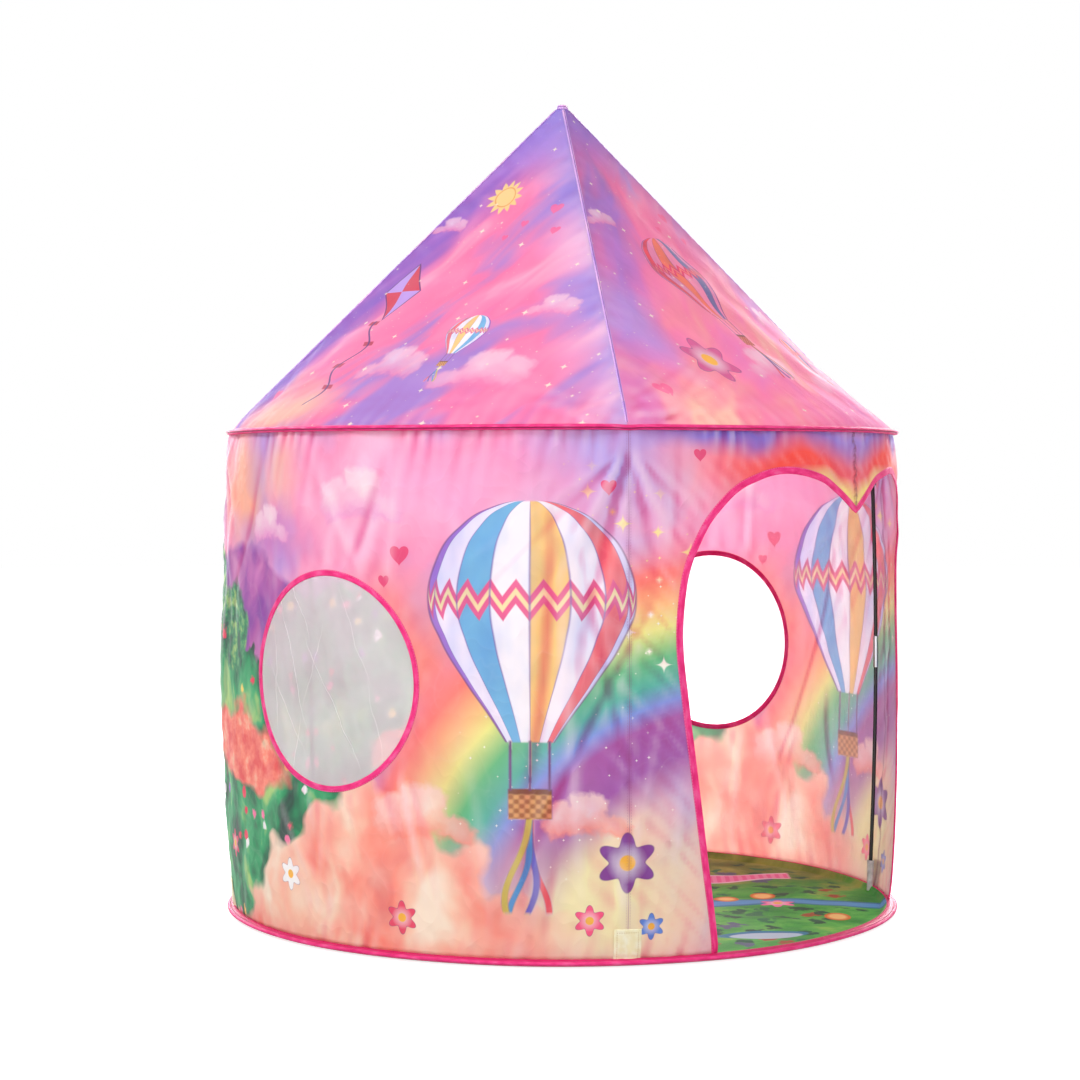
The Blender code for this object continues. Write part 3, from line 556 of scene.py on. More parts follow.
class Wire:
    """A socket that does sums: each adds a Math node to the socket's own tree."""

    def __init__(self, tree, socket):
        self.tree = tree
        self.socket = socket

    def sum(self, operation, *others, clamp=False):
        node = self.tree.nodes.new("ShaderNodeMath")
        node.operation = operation
        node.use_clamp = clamp
        for slot, value in zip(node.inputs, (self, *others)):
            plug(value, slot)
        return Wire(self.tree, node.outputs[0])

    def vector(self, operation, *others, out=0):
        node = self.tree.nodes.new("ShaderNodeVectorMath")
        node.operation = operation
        for slot, value in zip(node.inputs, (self, *others)):
            plug(value, slot)
        return Wire(self.tree, node.outputs[out])

    def most(self, other):
        return self.sum("MAXIMUM", other)

    def sine(self):
        return self.sum("SINE")

    def fraction(self):
        return self.sum("FRACT")

    def clamped(self, more=0.0):
        """The value and some more, kept between 0 and 1."""
        return self.sum("ADD", more, clamp=True)

    def scaled(self, x, y, z=1.0):
        return self.vector("MULTIPLY", (x, y, z))

    def __add__(self, other):
        return self.sum("ADD", other)

    __radd__ = __add__

    def __sub__(self, other):
        return self.sum("SUBTRACT", other)

    def __rsub__(self, other):
        return self.sum("MULTIPLY_ADD", -1.0, other)

    def __mul__(self, other):
        return self.sum("MULTIPLY", other)

    __rmul__ = __mul__

    def __truediv__(self, other):
        return self.sum("DIVIDE", other)

    def __abs__(self):
        return self.sum("ABSOLUTE")

    def under(self, limit, soft):
        """1 where the value is under the limit and 0 over it, with a soft edge."""
        gap = limit - self
        return gap.sum("MULTIPLY_ADD", 1 / soft, 0.5, clamp=True)

    def over(self, limit, soft):
        return (self - limit).sum("MULTIPLY_ADD", 1 / soft, 0.5, clamp=True)

    def near(self, place, half, soft):
        """1 within half of a place, and 0 outside."""
        return abs(self - place).under(half, soft)

    def split(self):
        node = self.tree.nodes.new("ShaderNodeSeparateXYZ")
        plug(self, node.inputs[0])
        return Wire(self.tree, node.outputs[0]), Wire(self.tree, node.outputs[1])


def plug(value, slot):
    """Joins a wire to a socket, or sets the socket to a number, a vector or a colour code."""
    if isinstance(value, Wire):
        value.tree.links.new(value.socket, slot)
    else:
        slot.default_value = rgb(value) if isinstance(value, str) else value


def point(x, y):
    node = x.tree.nodes.new("ShaderNodeCombineXYZ")
    plug(x, node.inputs[0])
    plug(y, node.inputs[1])
    return Wire(x.tree, node.outputs[0])


def noise(place, scale, detail=2.0, roughness=0.5, colour=False):
    node = place.tree.nodes.new("ShaderNodeTexNoise")
    node.noise_dimensions = "2D"
    for name, value in (("Vector", place), ("Scale", scale), ("Detail", detail), ("Roughness", roughness)):
        plug(value, node.inputs[name])
    return Wire(place.tree, node.outputs["Color" if colour else 0])


def cells(place, scale, feature="F1"):
    """Scattered cells: how far each place is from its cell's centre, a chance colour, the centre."""
    node = place.tree.nodes.new("ShaderNodeTexVoronoi")
    node.voronoi_dimensions = "2D"
    node.feature = feature
    plug(place, node.inputs["Vector"])
    plug(scale, node.inputs["Scale"])
    plug(1.0, node.inputs["Randomness"])
    return [Wire(place.tree, node.outputs[name]) for name in ("Distance", "Color", "Position")]


def ramp(value, stops, stepped=False):
    """A colour for each value, from (place, colour code) stops."""
    node = value.tree.nodes.new("ShaderNodeValToRGB")
    node.color_ramp.interpolation = "CONSTANT" if stepped else "LINEAR"
    marks = node.color_ramp.elements
    while len(marks) < len(stops):
        marks.new(0.5)
    for mark, (place, code) in zip(marks, stops):
        mark.position = place
        mark.color = rgb(code)
    plug(value, node.inputs[0])
    return Wire(value.tree, node.outputs[0])


def lay(under, over, mask, blend="MIX"):
    """One colour laid on another where the mask is 1."""
    tree = mask.tree if isinstance(mask, Wire) else under.tree
    node = tree.nodes.new("ShaderNodeMix")
    node.data_type = "RGBA"
    node.blend_type = blend
    plug(mask, node.inputs[0])
    plug(under, node.inputs[6])
    plug(over, node.inputs[7])
    return Wire(tree, node.outputs[2])


def float_curve(value, points):
    node = value.tree.nodes.new("ShaderNodeFloatCurve")
    curve = node.mapping.curves[0]
    while len(curve.points) < len(points):
        curve.points.new(0.5, 0.5)
    for mark, place in zip(curve.points, points):
        mark.location = place
    node.mapping.update()
    plug(value, node.inputs["Value"])
    return Wire(value.tree, node.outputs[0])


def new_group(name, inputs, outputs):
    """A shader node group. Gives its tree, its inputs as wires, and its output node."""
    tree = bpy.data.node_groups.new(name, "ShaderNodeTree")
    for label, kind in inputs:
        tree.interface.new_socket(label, in_out="INPUT", socket_type=kind)
    for label, kind in outputs:
        tree.interface.new_socket(label, in_out="OUTPUT", socket_type=kind)
    source = tree.nodes.new("NodeGroupInput")
    wires = [Wire(tree, source.outputs[label]) for label, _ in inputs]
    return tree, wires, tree.nodes.new("NodeGroupOutput")


def largest(wires):
    """The largest of some values."""
    best = wires[0]
    for wire in wires[1:]:
        best = best.most(wire)
    return best


def use_group(tree, group, **values):
    """The group placed in a tree, with its inputs set. Gives its outputs as wires."""
    node = tree.nodes.new("ShaderNodeGroup")
    node.node_tree = group
    for name, value in values.items():
        plug(value, node.inputs[name])
    return [Wire(tree, out) for out in node.outputs]


def draw(colour, group, **values):
    """Lays a motif's group on a colour."""
    drawn, mask = use_group(colour.tree, group, **values)
    return lay(colour, drawn, mask)


VECTOR = "NodeSocketVector"
NUMBER = "NodeSocketFloat"
COLOUR = "NodeSocketColor"
# The drawn outlines' colour, and the softness of their edges
LINE = "#7A3F86"
DRAWN_EDGE = 0.02
# Ribbons under a balloon's basket: phase, lean and colour
RIBBONS = [
    (0.0, -0.10, "#F2646F"), (1.4, 0.0, "#6C62C8"), (2.7, 0.12, "#4FA0DC"), (4.1, 0.22, "#D9C45A"),
]
# The puffs of a cloud: centre and radius
PUFFS = [((-0.60, -0.12), 0.30), ((-0.15, 0.14), 0.42), ((0.36, 0.0), 0.38), ((0.1, -0.2), 0.42)]


def length(place):
    return place.vector("LENGTH", out=1)


def moved(place, centre, size):
    """The place as seen from a motif: its centre is at 0, and its size is 1."""
    away = place.vector("SUBTRACT", (*centre, 0.0))
    sizes = size if isinstance(size, tuple) else (size, size)
    return away.scaled(1 / sizes[0], 1 / sizes[1])


def nearest_of(place, spots, codes=None):
    """The place as seen from the nearest of some motifs, each with its centre and size.

    With a colour code for each motif, it also gives the nearest one's colour.
    """
    best = moved(place, *spots[0])
    reach = length(best)
    colour = codes[0] if codes else None
    for i, (centre, size) in enumerate(spots[1:]):
        other = moved(place, centre, size)
        far = length(other)
        nearer = (far - reach).under(0.0, 0.0001)
        best = lay(best, other, nearer)
        if codes:
            colour = lay(colour, codes[i + 1], nearer)
        reach = reach.sum("MINIMUM", far)
    return (best, colour) if codes else best


# Motifs of the print, each drawn in its own size of 1

def balloon_motif():
    """A hot-air balloon with eight gores, a zigzag band, ropes, a basket and trailing ribbons."""
    tree, (place, tint), out = new_group(
        "balloon_motif", [("Place", VECTOR), ("Tint", COLOUR)], [("Colour", COLOUR), ("Mask", NUMBER)]
    )
    x, y = place.split()
    up = (y + 1.35) * (1 / 2.35)
    shape = [
        (0, 0.22), (0.1, 0.37), (0.25, 0.62), (0.42, 0.87), (0.58, 1), (0.75, 0.92), (0.9, 0.65),
        (0.97, 0.36), (1, 0),
    ]
    half = float_curve(up, shape)
    side = x / half
    turn = side.sum("ARCSINE") * (1 / math.pi) + 0.5
    gores = ["#F3ECFF", "#FF7F86", "#FFF8FD", "#FFD98A", "#FDFBFF", "#7CC4EA", "#FBF4FF", "#B57FDC"]
    colour = ramp(turn, [(i / 8, code) for i, code in enumerate(gores)], stepped=True)
    zigzag = abs((turn * 12.0).fraction() - 0.5) * 0.34
    colour = lay(colour, "#F2649F", (y + zigzag).near(0.12, 0.12, DRAWN_EDGE))
    colour = lay(colour, "#FFEDB8", (y + zigzag).near(0.12, 0.035, DRAWN_EDGE))
    lines = abs((turn * 8.0 + 0.5).fraction() - 0.5).under(0.025, 0.04)
    colour = lay(colour, "#8E74C0", lines * 0.75)
    wash = noise(place.scaled(1.6, 0.7), 1.8, 2.0)
    shade = (abs(side).sum("POWER", 2.5) * 0.40 + (wash - 0.47) * 1.2).clamped()
    colour = lay(colour, "#B4CCF6", shade, "MULTIPLY")
    colour = lay(colour, LINE, (half - abs(x)).near(0.0, 0.013, DRAWN_EDGE))
    body = abs(x).under(half, DRAWN_EDGE) * y.near(-0.175, 1.16, DRAWN_EDGE)

    drop = y * -1.0 - 2.0
    strands = []
    for phase, lean, code in RIBBONS:
        sway = (drop * 5.2 + phase).sine() * 0.09 * drop + drop * lean
        strand = (x - sway).near(0.0, 0.034, 0.02) * drop.near(0.48, 0.52, 0.05)
        edge = abs(x - sway).near(0.036, 0.006, 0.012) * strand
        colour = lay(lay(colour, code, strand), LINE, edge * 0.8)
        strands.append(strand)

    basket = abs(x).under(0.21, DRAWN_EDGE) * y.near(-1.93, 0.15, DRAWN_EDGE)
    weave = ((x * 60.0).sine() * (y * 70.0).sine()) * 0.5 + 0.5
    straw = ramp(weave, [(0.2, "#B5713C"), (0.8, "#E8B070")])
    straw = lay(straw, "#8A4B2A", y.near(-1.80, 0.035, DRAWN_EDGE))
    colour = lay(colour, straw, basket)
    ropes = abs(abs(x) - 0.185).under(0.014, DRAWN_EDGE).most(abs(x).under(0.012, DRAWN_EDGE))
    ropes = ropes * y.near(-1.56, 0.24, DRAWN_EDGE)
    colour = lay(lay(colour, LINE, ropes), tint, 1.0, "MULTIPLY")
    plug(colour, out.inputs["Colour"])
    plug(largest([body, basket, ropes, *strands]), out.inputs["Mask"])
    return tree


def cloud_motif():
    """A puffy cloud: round puffs over a flat foot, light on top."""
    tree, (place,), out = new_group(
        "cloud_motif", [("Place", VECTOR)], [("Light", NUMBER), ("Mask", NUMBER)]
    )
    place = watery(watery(place, 0.5, 1.3), 0.26, 3.4)
    nearest = None
    for centre, radius in PUFFS:
        puff = length(place.vector("SUBTRACT", (*centre, 0.0))) - radius
        nearest = puff if nearest is None else nearest.sum("SMOOTH_MIN", puff, 0.12)
    x, y = place.split()
    edge = nearest.sum("SMOOTH_MAX", y * -1.0 - 0.34, 0.1)
    plug(edge.under(-0.03, 0.12), out.inputs["Mask"])
    plug((edge * -1.3 + y * 0.9).clamped(0.2), out.inputs["Light"])
    return tree


def heart_mask(place):
    x, y = place.split()
    lobe = y * 1.25 - abs(x).sum("SQRT") * 0.9
    return (x * x + lobe * lobe).under(1.0, 0.1)


def star_mask(place, points, notch, soft=0.08):
    """A star with straight-sided points; notch is the inner radius."""
    x, y = place.split()
    turn = x.sum("ARCTAN2", y) * (points / (2 * math.pi))
    fold = abs((turn + 0.5).fraction() - 0.5) * 2.0
    return length(place).under(1.0 - fold * (1 - notch), soft)


def flower_motif():
    tree, (place, petal), out = new_group(
        "flower_motif", [("Place", VECTOR), ("Petal", COLOUR)], [("Colour", COLOUR), ("Mask", NUMBER)]
    )
    x, y = place.split()
    turn = x.sum("ARCTAN2", y)
    rim = (turn * 6.0).sum("COSINE") * 0.2 + 0.8
    far = length(place)
    colour = lay(petal, "#FFFFFF", far.under(0.45, 0.5) * 0.6)
    colour = lay(colour, LINE, (far - rim).near(0.0, 0.03, 0.04) * 0.8)
    plug(lay(colour, "#FFC83D", far.under(0.26, 0.05)), out.inputs["Colour"])
    plug(far.under(rim, 0.05), out.inputs["Mask"])
    return tree


def washes(colour, place, spots):
    """Soft blots of colour: (centre, half sizes, colour code, strength)."""
    for centre, size, code, strength in spots:
        blot = length(moved(place, centre, size)).under(0.75, 1.1) * strength
        colour = lay(colour, code, blot)
    return colour


def sparkles(place, scale, chance_limit, size):
    """Scattered four-pointed sparkles: 1 on them."""
    _, chance, centre = cells(place, scale)
    pick, spread = chance.split()
    local = place.vector("SUBTRACT", centre)
    x, y = local.split()
    arms = abs(x).sum("POWER", 0.5) + abs(y).sum("POWER", 0.5)
    big = (spread * 0.6 + 0.6) * math.sqrt(size)
    glow = length(local).under(size * 0.28, size * 0.5) * 0.7
    return arms.under(big, math.sqrt(size) * 0.25).most(glow) * pick.over(chance_limit, 0.01)


def watery(place, amount, scale):
    """The place pushed about as wet paint is."""
    push = noise(place, scale, 3.0, 0.55, colour=True)
    back = (-amount / 2, -amount / 2, 0.0)
    return place.vector("ADD", push.vector("MULTIPLY_ADD", (amount, amount, 0.0), back))


def painted_bank(colour, place, top, stops, scale, rough_edge, softness):
    """Painted ground or cloud that fills the place up to a height, with a ragged top edge."""
    _, v = place.split()
    billow = noise(watery(place, 0.05, 9.0), scale, 3.0, 0.6)
    depth = top + (billow - 0.5) * rough_edge - v
    tone = noise(watery(place, 0.09, 6.0).scaled(1.15, 0.8), scale * 0.85, 3.0, 0.55)
    painted = ramp(tone, stops)
    cover = depth.over(0.0, softness)
    return lay(colour, painted, cover), cover, depth


def wall_print(balloon, cloud, flower):
    """The wall's print, the same on both halves: sky, rainbow, hills, meadow and cloud banks."""
    tree, (place,), out = new_group("wall_print", [("Place", VECTOR)], [("Colour", COLOUR)])
    u, v = place.split()
    across = abs(u)
    share = across * (1 / 1.62)
    place = point(across, v)
    wet = watery(place, 0.20, 3.6)
    # The base colour runs in upright streaks: the print's watercolour wash, with paler streaks that are
    # also painted highlights of upright folds
    streak = noise(watery(place, 0.06, 7.0).scaled(1.0, 0.5), 5.0, 3.0, 0.6)
    colour = ramp(
        streak,
        [
            (0.26, "#B294E2"), (0.38, "#CFA6E2"), (0.46, "#EAA8D4"), (0.54, "#F9A3CA"),
            (0.64, "#FBBAD8"), (0.76, "#F4D6EC"),
        ],
    )
    colour = washes(colour, wet, [
        ((0.20, 0.735), (0.24, 0.035), "#7F79E4", 0.95),
        ((0.10, 0.675), (0.21, 0.055), "#FF4F3E", 1.0),
        ((0.03, 0.635), (0.06, 0.030), "#FFEC94", 1.0),
        ((0.42, 0.69), (0.10, 0.06), "#B7B2F2", 0.8),
        ((0.62, 0.68), (0.16, 0.06), "#FFA3D6", 0.6),
        ((1.08, 0.665), (0.09, 0.07), "#FFBE96", 0.9),
        ((0.94, 0.70), (0.06, 0.05), "#FFD2A8", 0.6),
        ((1.24, 0.64), (0.07, 0.09), "#BC78CC", 0.9),
        ((0.98, 0.60), (0.10, 0.06), "#CF7FC8", 0.8),
        ((0.48, 0.50), (0.11, 0.14), "#C6B4F2", 0.75),
        ((0.72, 0.40), (0.11, 0.15), "#FF9480", 0.9),
        ((0.44, 0.10), (0.22, 0.15), "#FBF3C4", 1.0),
        ((1.50, 0.55), (0.16, 0.16), "#C7A2E8", 0.7),
    ])

    arch = length(place.vector("SUBTRACT", (0.24, 0.0, 0.0)))
    band = (arch - 0.28) * (1 / 0.30)
    bow = ramp(band, [
        (0.0, "#A85CB8"), (0.26, "#B455B4"), (0.34, "#86A0E8"), (0.43, "#4BC2AE"), (0.54, "#62CA88"),
        (0.67, "#F4F294"), (0.78, "#FFC88A"), (0.89, "#FF8676"), (1.0, "#FF8F9A"),
    ])
    shown = band.near(0.5, 0.5, 0.16) * v.over(0.12, 0.16) * (streak * 0.5 + 0.70)
    colour = lay(colour, bow, shown.clamped())

    slope = float_curve(share, [
        (0, 0.0), (0.44, 0.0), (0.50, 0.10), (0.54, 0.45), (0.58, 0.53), (0.67, 0.57), (0.76, 0.53),
        (0.9, 0.57), (1, 0.53),
    ])
    heather = [
        (0.30, "#6E3AA2"), (0.42, "#9A4CB0"), (0.52, "#BE66B8"), (0.64, "#D486C4"), (0.76, "#EAB0DA"),
    ]
    colour, _, _ = painted_bank(colour, place, slope, heather, 9.0, 0.07, 0.015)
    hill = float_curve(share, [
        (0, 0.0), (0.44, 0.0), (0.48, 0.14), (0.53, 0.27), (0.60, 0.38), (0.68, 0.44), (0.78, 0.47),
        (0.9, 0.50), (1, 0.46),
    ])
    greens = [(0.30, "#054436"), (0.42, "#067A50"), (0.50, "#0FA064"), (0.60, "#3DBB7A"), (0.74, "#B9DD86")]
    colour, ground, _ = painted_bank(colour, place, hill, greens, 15.0, 0.14, 0.012)
    trees = [((1.11, 0.45), 0.07), ((1.24, 0.50), 0.08), ((1.42, 0.48), 0.06)]
    crown = length(nearest_of(watery(place, 0.05, 14.0), trees)).under(1.0, 0.12)
    leafy = noise(place, 34.0, 3.0, 0.6)
    colour = lay(colour, ramp(leafy, [(0.34, "#0B5C46"), (0.52, "#2C9E66"), (0.68, "#A6D37A")]), crown)
    far, chance, _ = cells(place, 30.0)
    pick, tint = chance.split()
    petals = ramp(
        tint, [(0.0, "#F2345F"), (0.3, "#FF8AB8"), (0.55, "#FFE46B"), (0.75, "#FFFFFF"), (0.9, "#B05CD6")],
        stepped=True,
    )
    bloom = (far + (leafy - 0.5) * 0.7).under(0.19, 0.10)
    colour = lay(colour, petals, bloom * pick.over(0.74, 0.01) * ground)

    bank = float_curve(share, [
        (0, 0.08), (0.24, 0.03), (0.34, 0.10), (0.41, 0.19), (0.47, 0.24), (0.52, 0.20), (0.57, 0.15),
        (0.63, 0.09), (0.67, 0.0), (1, 0.06),
    ])
    mist = [(0.28, "#F2766C"), (0.40, "#FF9884"), (0.50, "#FFB29C"), (0.60, "#FFD2B8"), (0.72, "#FFF0DC")]
    before = colour
    billows, _, _ = cells(watery(place, 0.05, 12.0), 15.0, "SMOOTH_F1")
    top = bank + (0.42 - billows) * 0.11
    colour, cover, depth = painted_bank(colour, place, top, mist, 8.0, 0.08, 0.02)
    lit = billows.under(0.22, 0.4) * 0.35 + depth.under(0.02, 0.05) * 0.35
    colour = lay(colour, "#FFF0DE", cover * lit)
    colour = lay(before, colour, across.over(0.52, 0.16))
    bushes = [((1.08, 0.275), (0.15, 0.055)), ((1.38, 0.20), (0.09, 0.05))]
    island = length(nearest_of(watery(place, 0.14, 8.0), bushes)).under(1.0, 0.25)
    colour = lay(colour, ramp(leafy, [(0.34, "#F0605E"), (0.6, "#FF9C84"), (0.75, "#FFD2B4")]), island)

    sky = [
        ((0.80, 0.64), 0.085), ((0.99, 0.60), 0.06), ((0.47, 0.205), 0.07), ((0.70, 0.20), 0.09),
        ((1.33, 0.66), 0.08),
    ]
    light, mask = use_group(tree, cloud, Place=nearest_of(place, sky))
    colour = lay(colour, lay(ramp(v, [(0.3, "#FF9C86"), (0.5, "#F0A4D6")]), "#FFF8F4", light), mask * 0.8)

    glade = length(moved(wet, (0.42, 0.50), (0.11, 0.16))).under(1.0, 0.3)
    dust = length(moved(wet, (0.50, 0.24), (0.16, 0.12))).under(1.0, 0.4)
    stars = sparkles(place, 21.0, 0.45, 0.012) * glade
    stars = stars.most(sparkles(place, 55.0, 0.6, 0.0025) * dust.most(glade))
    glints = lay("#FFFDF0", "#FFEFA0", v.over(0.53, 0.02))
    colour = lay(colour, glints, stars.clamped())

    air = nearest_of(place, [((0.535, 0.50), 0.142), ((1.50, 0.61), 0.046)])
    colour = draw(colour, balloon, Place=air, Tint="#FFFFFF")

    beds = [
        ((0.405, 0.145), 0.042), ((0.455, 0.065), 0.022), ((0.37, 0.055), 0.019), ((0.72, 0.06), 0.024),
        ((0.93, 0.10), 0.024), ((1.12, 0.12), 0.022), ((1.28, 0.36), 0.02),
    ]
    petals = ["#8E3FA8", "#FF5C93", "#5C8FE6", "#F2476F", "#FFFFFF", "#E0456C", "#FFD1E4"]
    bed, petal = nearest_of(place, beds, petals)
    colour = draw(colour, flower, Place=bed, Petal=petal)

    hearts = [((0.72, 0.56), 0.014), ((0.745, 0.525), 0.009), ((0.43, 0.655), 0.011), ((0.30, 0.70), 0.009)]
    colour = lay(colour, "#EE4A84", heart_mask(nearest_of(place, hearts)))
    plug(colour, out.inputs["Colour"])
    return tree


def roof_print(balloon, cloud, flower):
    """The four panels' print: pink, with violet and blue along the ridges, and coral low down."""
    tree, (place,), out = new_group("roof_print", [("Place", VECTOR)], [("Colour", COLOUR)])
    u, v = place.split()
    panel = (u * 0.5).sum("ROUND")
    x = u - panel * 2.0
    turned = abs((panel * 0.5).fraction()).over(0.25, 0.1)
    plain = 1.0 - turned
    here = point(x, v)
    slant = point(x * 0.82 - v * 0.57, x * 0.57 + v * 0.82).scaled(1.5, 0.55)
    flow = slant.vector("ADD", point(panel * 3.0, panel * 1.7))
    swirl = noise(watery(flow, 0.25, 3.0), 4.6, 3.0, 0.6)
    pink = ramp(swirl, [
        (0.30, "#B284D8"), (0.40, "#E084C6"), (0.48, "#FA7CB4"), (0.60, "#FF8FBE"), (0.74, "#FFBCD8"),
    ])
    coral = ramp(swirl, [
        (0.28, "#DC8ADC"), (0.40, "#FA86C6"), (0.50, "#FF8ABC"), (0.62, "#FF9CB0"), (0.74, "#FFCBB8"),
    ])
    colour = lay(coral, pink, (v + (swirl - 0.5) * 0.5).over(0.36, 0.2).most(turned))

    edge = 0.403 - v * 0.565 + (swirl - 0.5) * 0.16
    left = (x + edge).under(0.085, 0.10) * (turned * 0.65 + 0.3)
    right = (edge - x).under(0.055, 0.10) * (turned * 0.5 + 0.25)
    violet = ramp(swirl, [(0.36, "#8458CC"), (0.52, "#A368D2"), (0.68, "#D79AE4")])
    sky_blue = ramp(swirl, [(0.34, "#8F86E4"), (0.52, "#B4B2F4"), (0.68, "#DDD3F8")])
    colour = lay(lay(colour, violet, left), sky_blue, right)
    colour = lay(colour, "#9C7CE2", (v + (swirl - 0.5) * 0.4).over(0.60, 0.12) * 0.7)
    wet = watery(here, 0.16, 4.0)
    peach = length(moved(wet, (-0.20, 0.04), (0.13, 0.06))).under(0.8, 0.9)
    colour = lay(colour, "#FFC8AC", peach * turned * 0.85)
    blue = length(moved(wet, (-0.24, 0.20), (0.06, 0.10))).under(0.8, 0.9)
    colour = lay(colour, "#B6A4F0", blue * plain * 0.6)

    puffs = [((-0.02, 0.12), 0.075), ((0.20, 0.24), 0.05), ((0.16, 0.10), 0.09), ((-0.12, 0.44), 0.04)]
    light, mask = use_group(tree, cloud, Place=nearest_of(here, puffs))
    colour = lay(colour, lay("#F58FC2", "#FFEFF6", light), mask * 0.7)

    sun = moved(here, (-0.03, 0.50), 0.040)
    colour = lay(colour, "#FBDC94", star_mask(sun, 12, 0.62) * turned)
    colour = lay(colour, "#E9A94F", length(sun).near(0.55, 0.03, 0.05) * turned)
    kite = moved(here, (-0.15, 0.29), (0.045, 0.066))
    kx, ky = kite.split()
    spread = abs(kx) + abs(ky)
    quarter = ((kx.over(0.0, 0.01) + ky.over(0.0, 0.01)) * 0.5).fraction().over(0.25, 0.1)
    sail = lay("#DE3A5C", "#CBA7F0", quarter)
    sail = lay(sail, "#5B2C83", spread.near(0.97, 0.035, 0.04))
    colour = lay(colour, sail, spread.under(1.0, 0.04) * turned)
    string = kx + (ky * 4.2).sine() * 0.35
    below = ky.near(-2.4, 1.4, 0.05) * turned
    bows = string.near(0.0, 0.28, 0.06) * (ky * 1.4).fraction().near(0.5, 0.10, 0.05)
    colour = lay(lay(colour, "#C8325E", bows * below), "#5B2C83", string.near(0.0, 0.05, 0.05) * below)

    pair = nearest_of(here, [((-0.01, 0.33), 0.078), ((0.17, 0.16), 0.034)])
    air = lay(pair, moved(here, (0.07, 0.19), 0.036), turned)
    colour = draw(colour, balloon, Place=air, Tint=lay("#FF9CC0", "#FFFFFF", turned))
    bed = nearest_of(here, [((-0.16, 0.13), 0.046), ((0.26, 0.05), 0.034)])
    drawn, mask = use_group(tree, flower, Place=bed, Petal="#E25BA0")
    colour = lay(colour, drawn, mask * plain)
    hearts = [
        ((0.10, 0.46), 0.012), ((0.12, 0.41), 0.009), ((0.05, 0.43), 0.008), ((-0.30, 0.06), 0.014),
        ((0.02, 0.40), 0.007),
    ]
    colour = lay(colour, "#F9609F", heart_mask(nearest_of(here, hearts)) * 0.8)
    shine = sparkles(place, 26.0, 0.80, 0.006).most(sparkles(place, 70.0, 0.86, 0.002) * 0.7)
    colour = lay(colour, "#FFF6E0", shine * 0.85)
    plug(colour, out.inputs["Colour"])
    return tree


def floor_print(flower):
    """The floor's print: a meadow with a brook, stepping stones, a slatted bridge and flowers."""
    tree, (place,), out = new_group("floor_print", [("Place", VECTOR)], [("Colour", COLOUR)])
    x, y = place.split()
    wet = watery(place, 0.08, 6.0)
    grass = noise(wet, 11.0, 4.0, 0.6)
    colour = ramp(grass, [(0.32, "#2F9A3A"), (0.47, "#46B544"), (0.58, "#62C550"), (0.72, "#93D25C")])
    # Duller, olive grass on the half of the floor away from the camera
    far_grass = ramp(grass, [(0.32, "#5A742E"), (0.5, "#76903E"), (0.7, "#A2AE54")])
    along, away = x * 0.574 - y * 0.819, x * 0.819 + y * 0.574
    lane = point(along, away)
    colour = lay(colour, far_grass, (away + (grass - 0.5) * 0.4).over(0.17, 0.16))
    brook = away + (along * 13.0).sine() * 0.022
    colour = lay(colour, "#2F78A8", brook.near(-0.04, 0.026, 0.008))
    colour = lay(colour, "#5AA7DA", brook.near(-0.04, 0.017, 0.008))
    open_grass = (1.0 - brook.near(-0.04, 0.04, 0.01)) * length(place).under(0.48, 0.01)
    far, chance, _ = cells(watery(place, 0.05, 16.0), 24.0)
    pick, tint = chance.split()
    tufts = ramp(
        tint, [(0.0, "#14633C"), (0.3, "#1F7D48"), (0.6, "#0F5536"), (0.82, "#B05A34"), (0.9, "#5E6C84")],
        stepped=True,
    )
    grown = (far + (noise(place, 60.0) - 0.5) * 0.7).under(0.33, 0.10) * pick.over(0.36, 0.01)
    colour = lay(colour, tufts, grown * open_grass)
    bridge = away - along * 0.35
    span = along.near(0.28, 0.10, 0.006)
    colour = lay(colour, "#FFE3EE", bridge.near(0.10, 0.034, 0.006) * span)
    slats = ramp((along * 70.0).fraction(), [(0.42, "#F874AC"), (0.58, "#FF9CC6")])
    colour = lay(colour, slats, bridge.near(0.10, 0.026, 0.006) * span)
    stone = length(nearest_of(lane, [
        ((0.20, 0.02), (0.020, 0.026)), ((0.26, 0.00), (0.020, 0.026)), ((0.32, 0.03), (0.020, 0.026)),
        ((0.15, -0.13), (0.030, 0.040)), ((0.42, -0.14), (0.020, 0.030)),
    ]))
    colour = lay(lay(colour, "#E8792E", stone.under(1.0, 0.1)), "#FFD884", stone.under(0.7, 0.3))
    leaf = moved(point(along - away * 0.5, away - along * 0.2), (0.44, -0.35), (0.060, 0.026))
    colour = lay(colour, "#2C86AE", length(leaf).under(1.0, 0.06))
    colour = lay(colour, "#C3DEEA", length(leaf.vector("SUBTRACT", (0.12, -0.30, 0.0))).under(0.80, 0.06))
    beds = [((-0.12, -0.16), 0.036), ((0.16, -0.30), 0.030), ((-0.30, -0.22), 0.034), ((0.08, 0.24), 0.030)]
    colour = draw(colour, flower, Place=nearest_of(place, beds), Petal="#FF7FB2")
    plug(colour, out.inputs["Colour"])
    return tree


def cloth_grain():
    """The height of thin woven cloth: its threads, and the sharp little creases it keeps."""
    tree, (place, crush), out = new_group(
        "cloth_grain", [("Place", VECTOR), ("Crush", NUMBER)], [("Height", NUMBER), ("Crease", NUMBER)]
    )
    x, y = place.split()
    threads = (x * 9000.0).sine() + (y * 9000.0).sine()
    broad = abs(noise(place.scaled(1.0, 0.7), 15.0, 0.8, 0.4) - 0.5)
    fine = abs(noise(place.scaled(1.0, 0.8), 36.0, 0.8, 0.4) - 0.5)
    height = threads * 0.012 - (broad * 2.2 + fine * 1.0) * crush
    plug(height, out.inputs["Height"])
    # Crease marks the creases' sharp crests, in patches; the printed cloth paints a highlight on them
    crease_patches = noise(place, 6.0, 2.0).over(0.44, 0.2)
    plug((broad.under(0.01, 0.03) * 0.6 + fine.under(0.01, 0.05) * 0.5) * crease_patches, out.inputs["Crease"])
    return tree


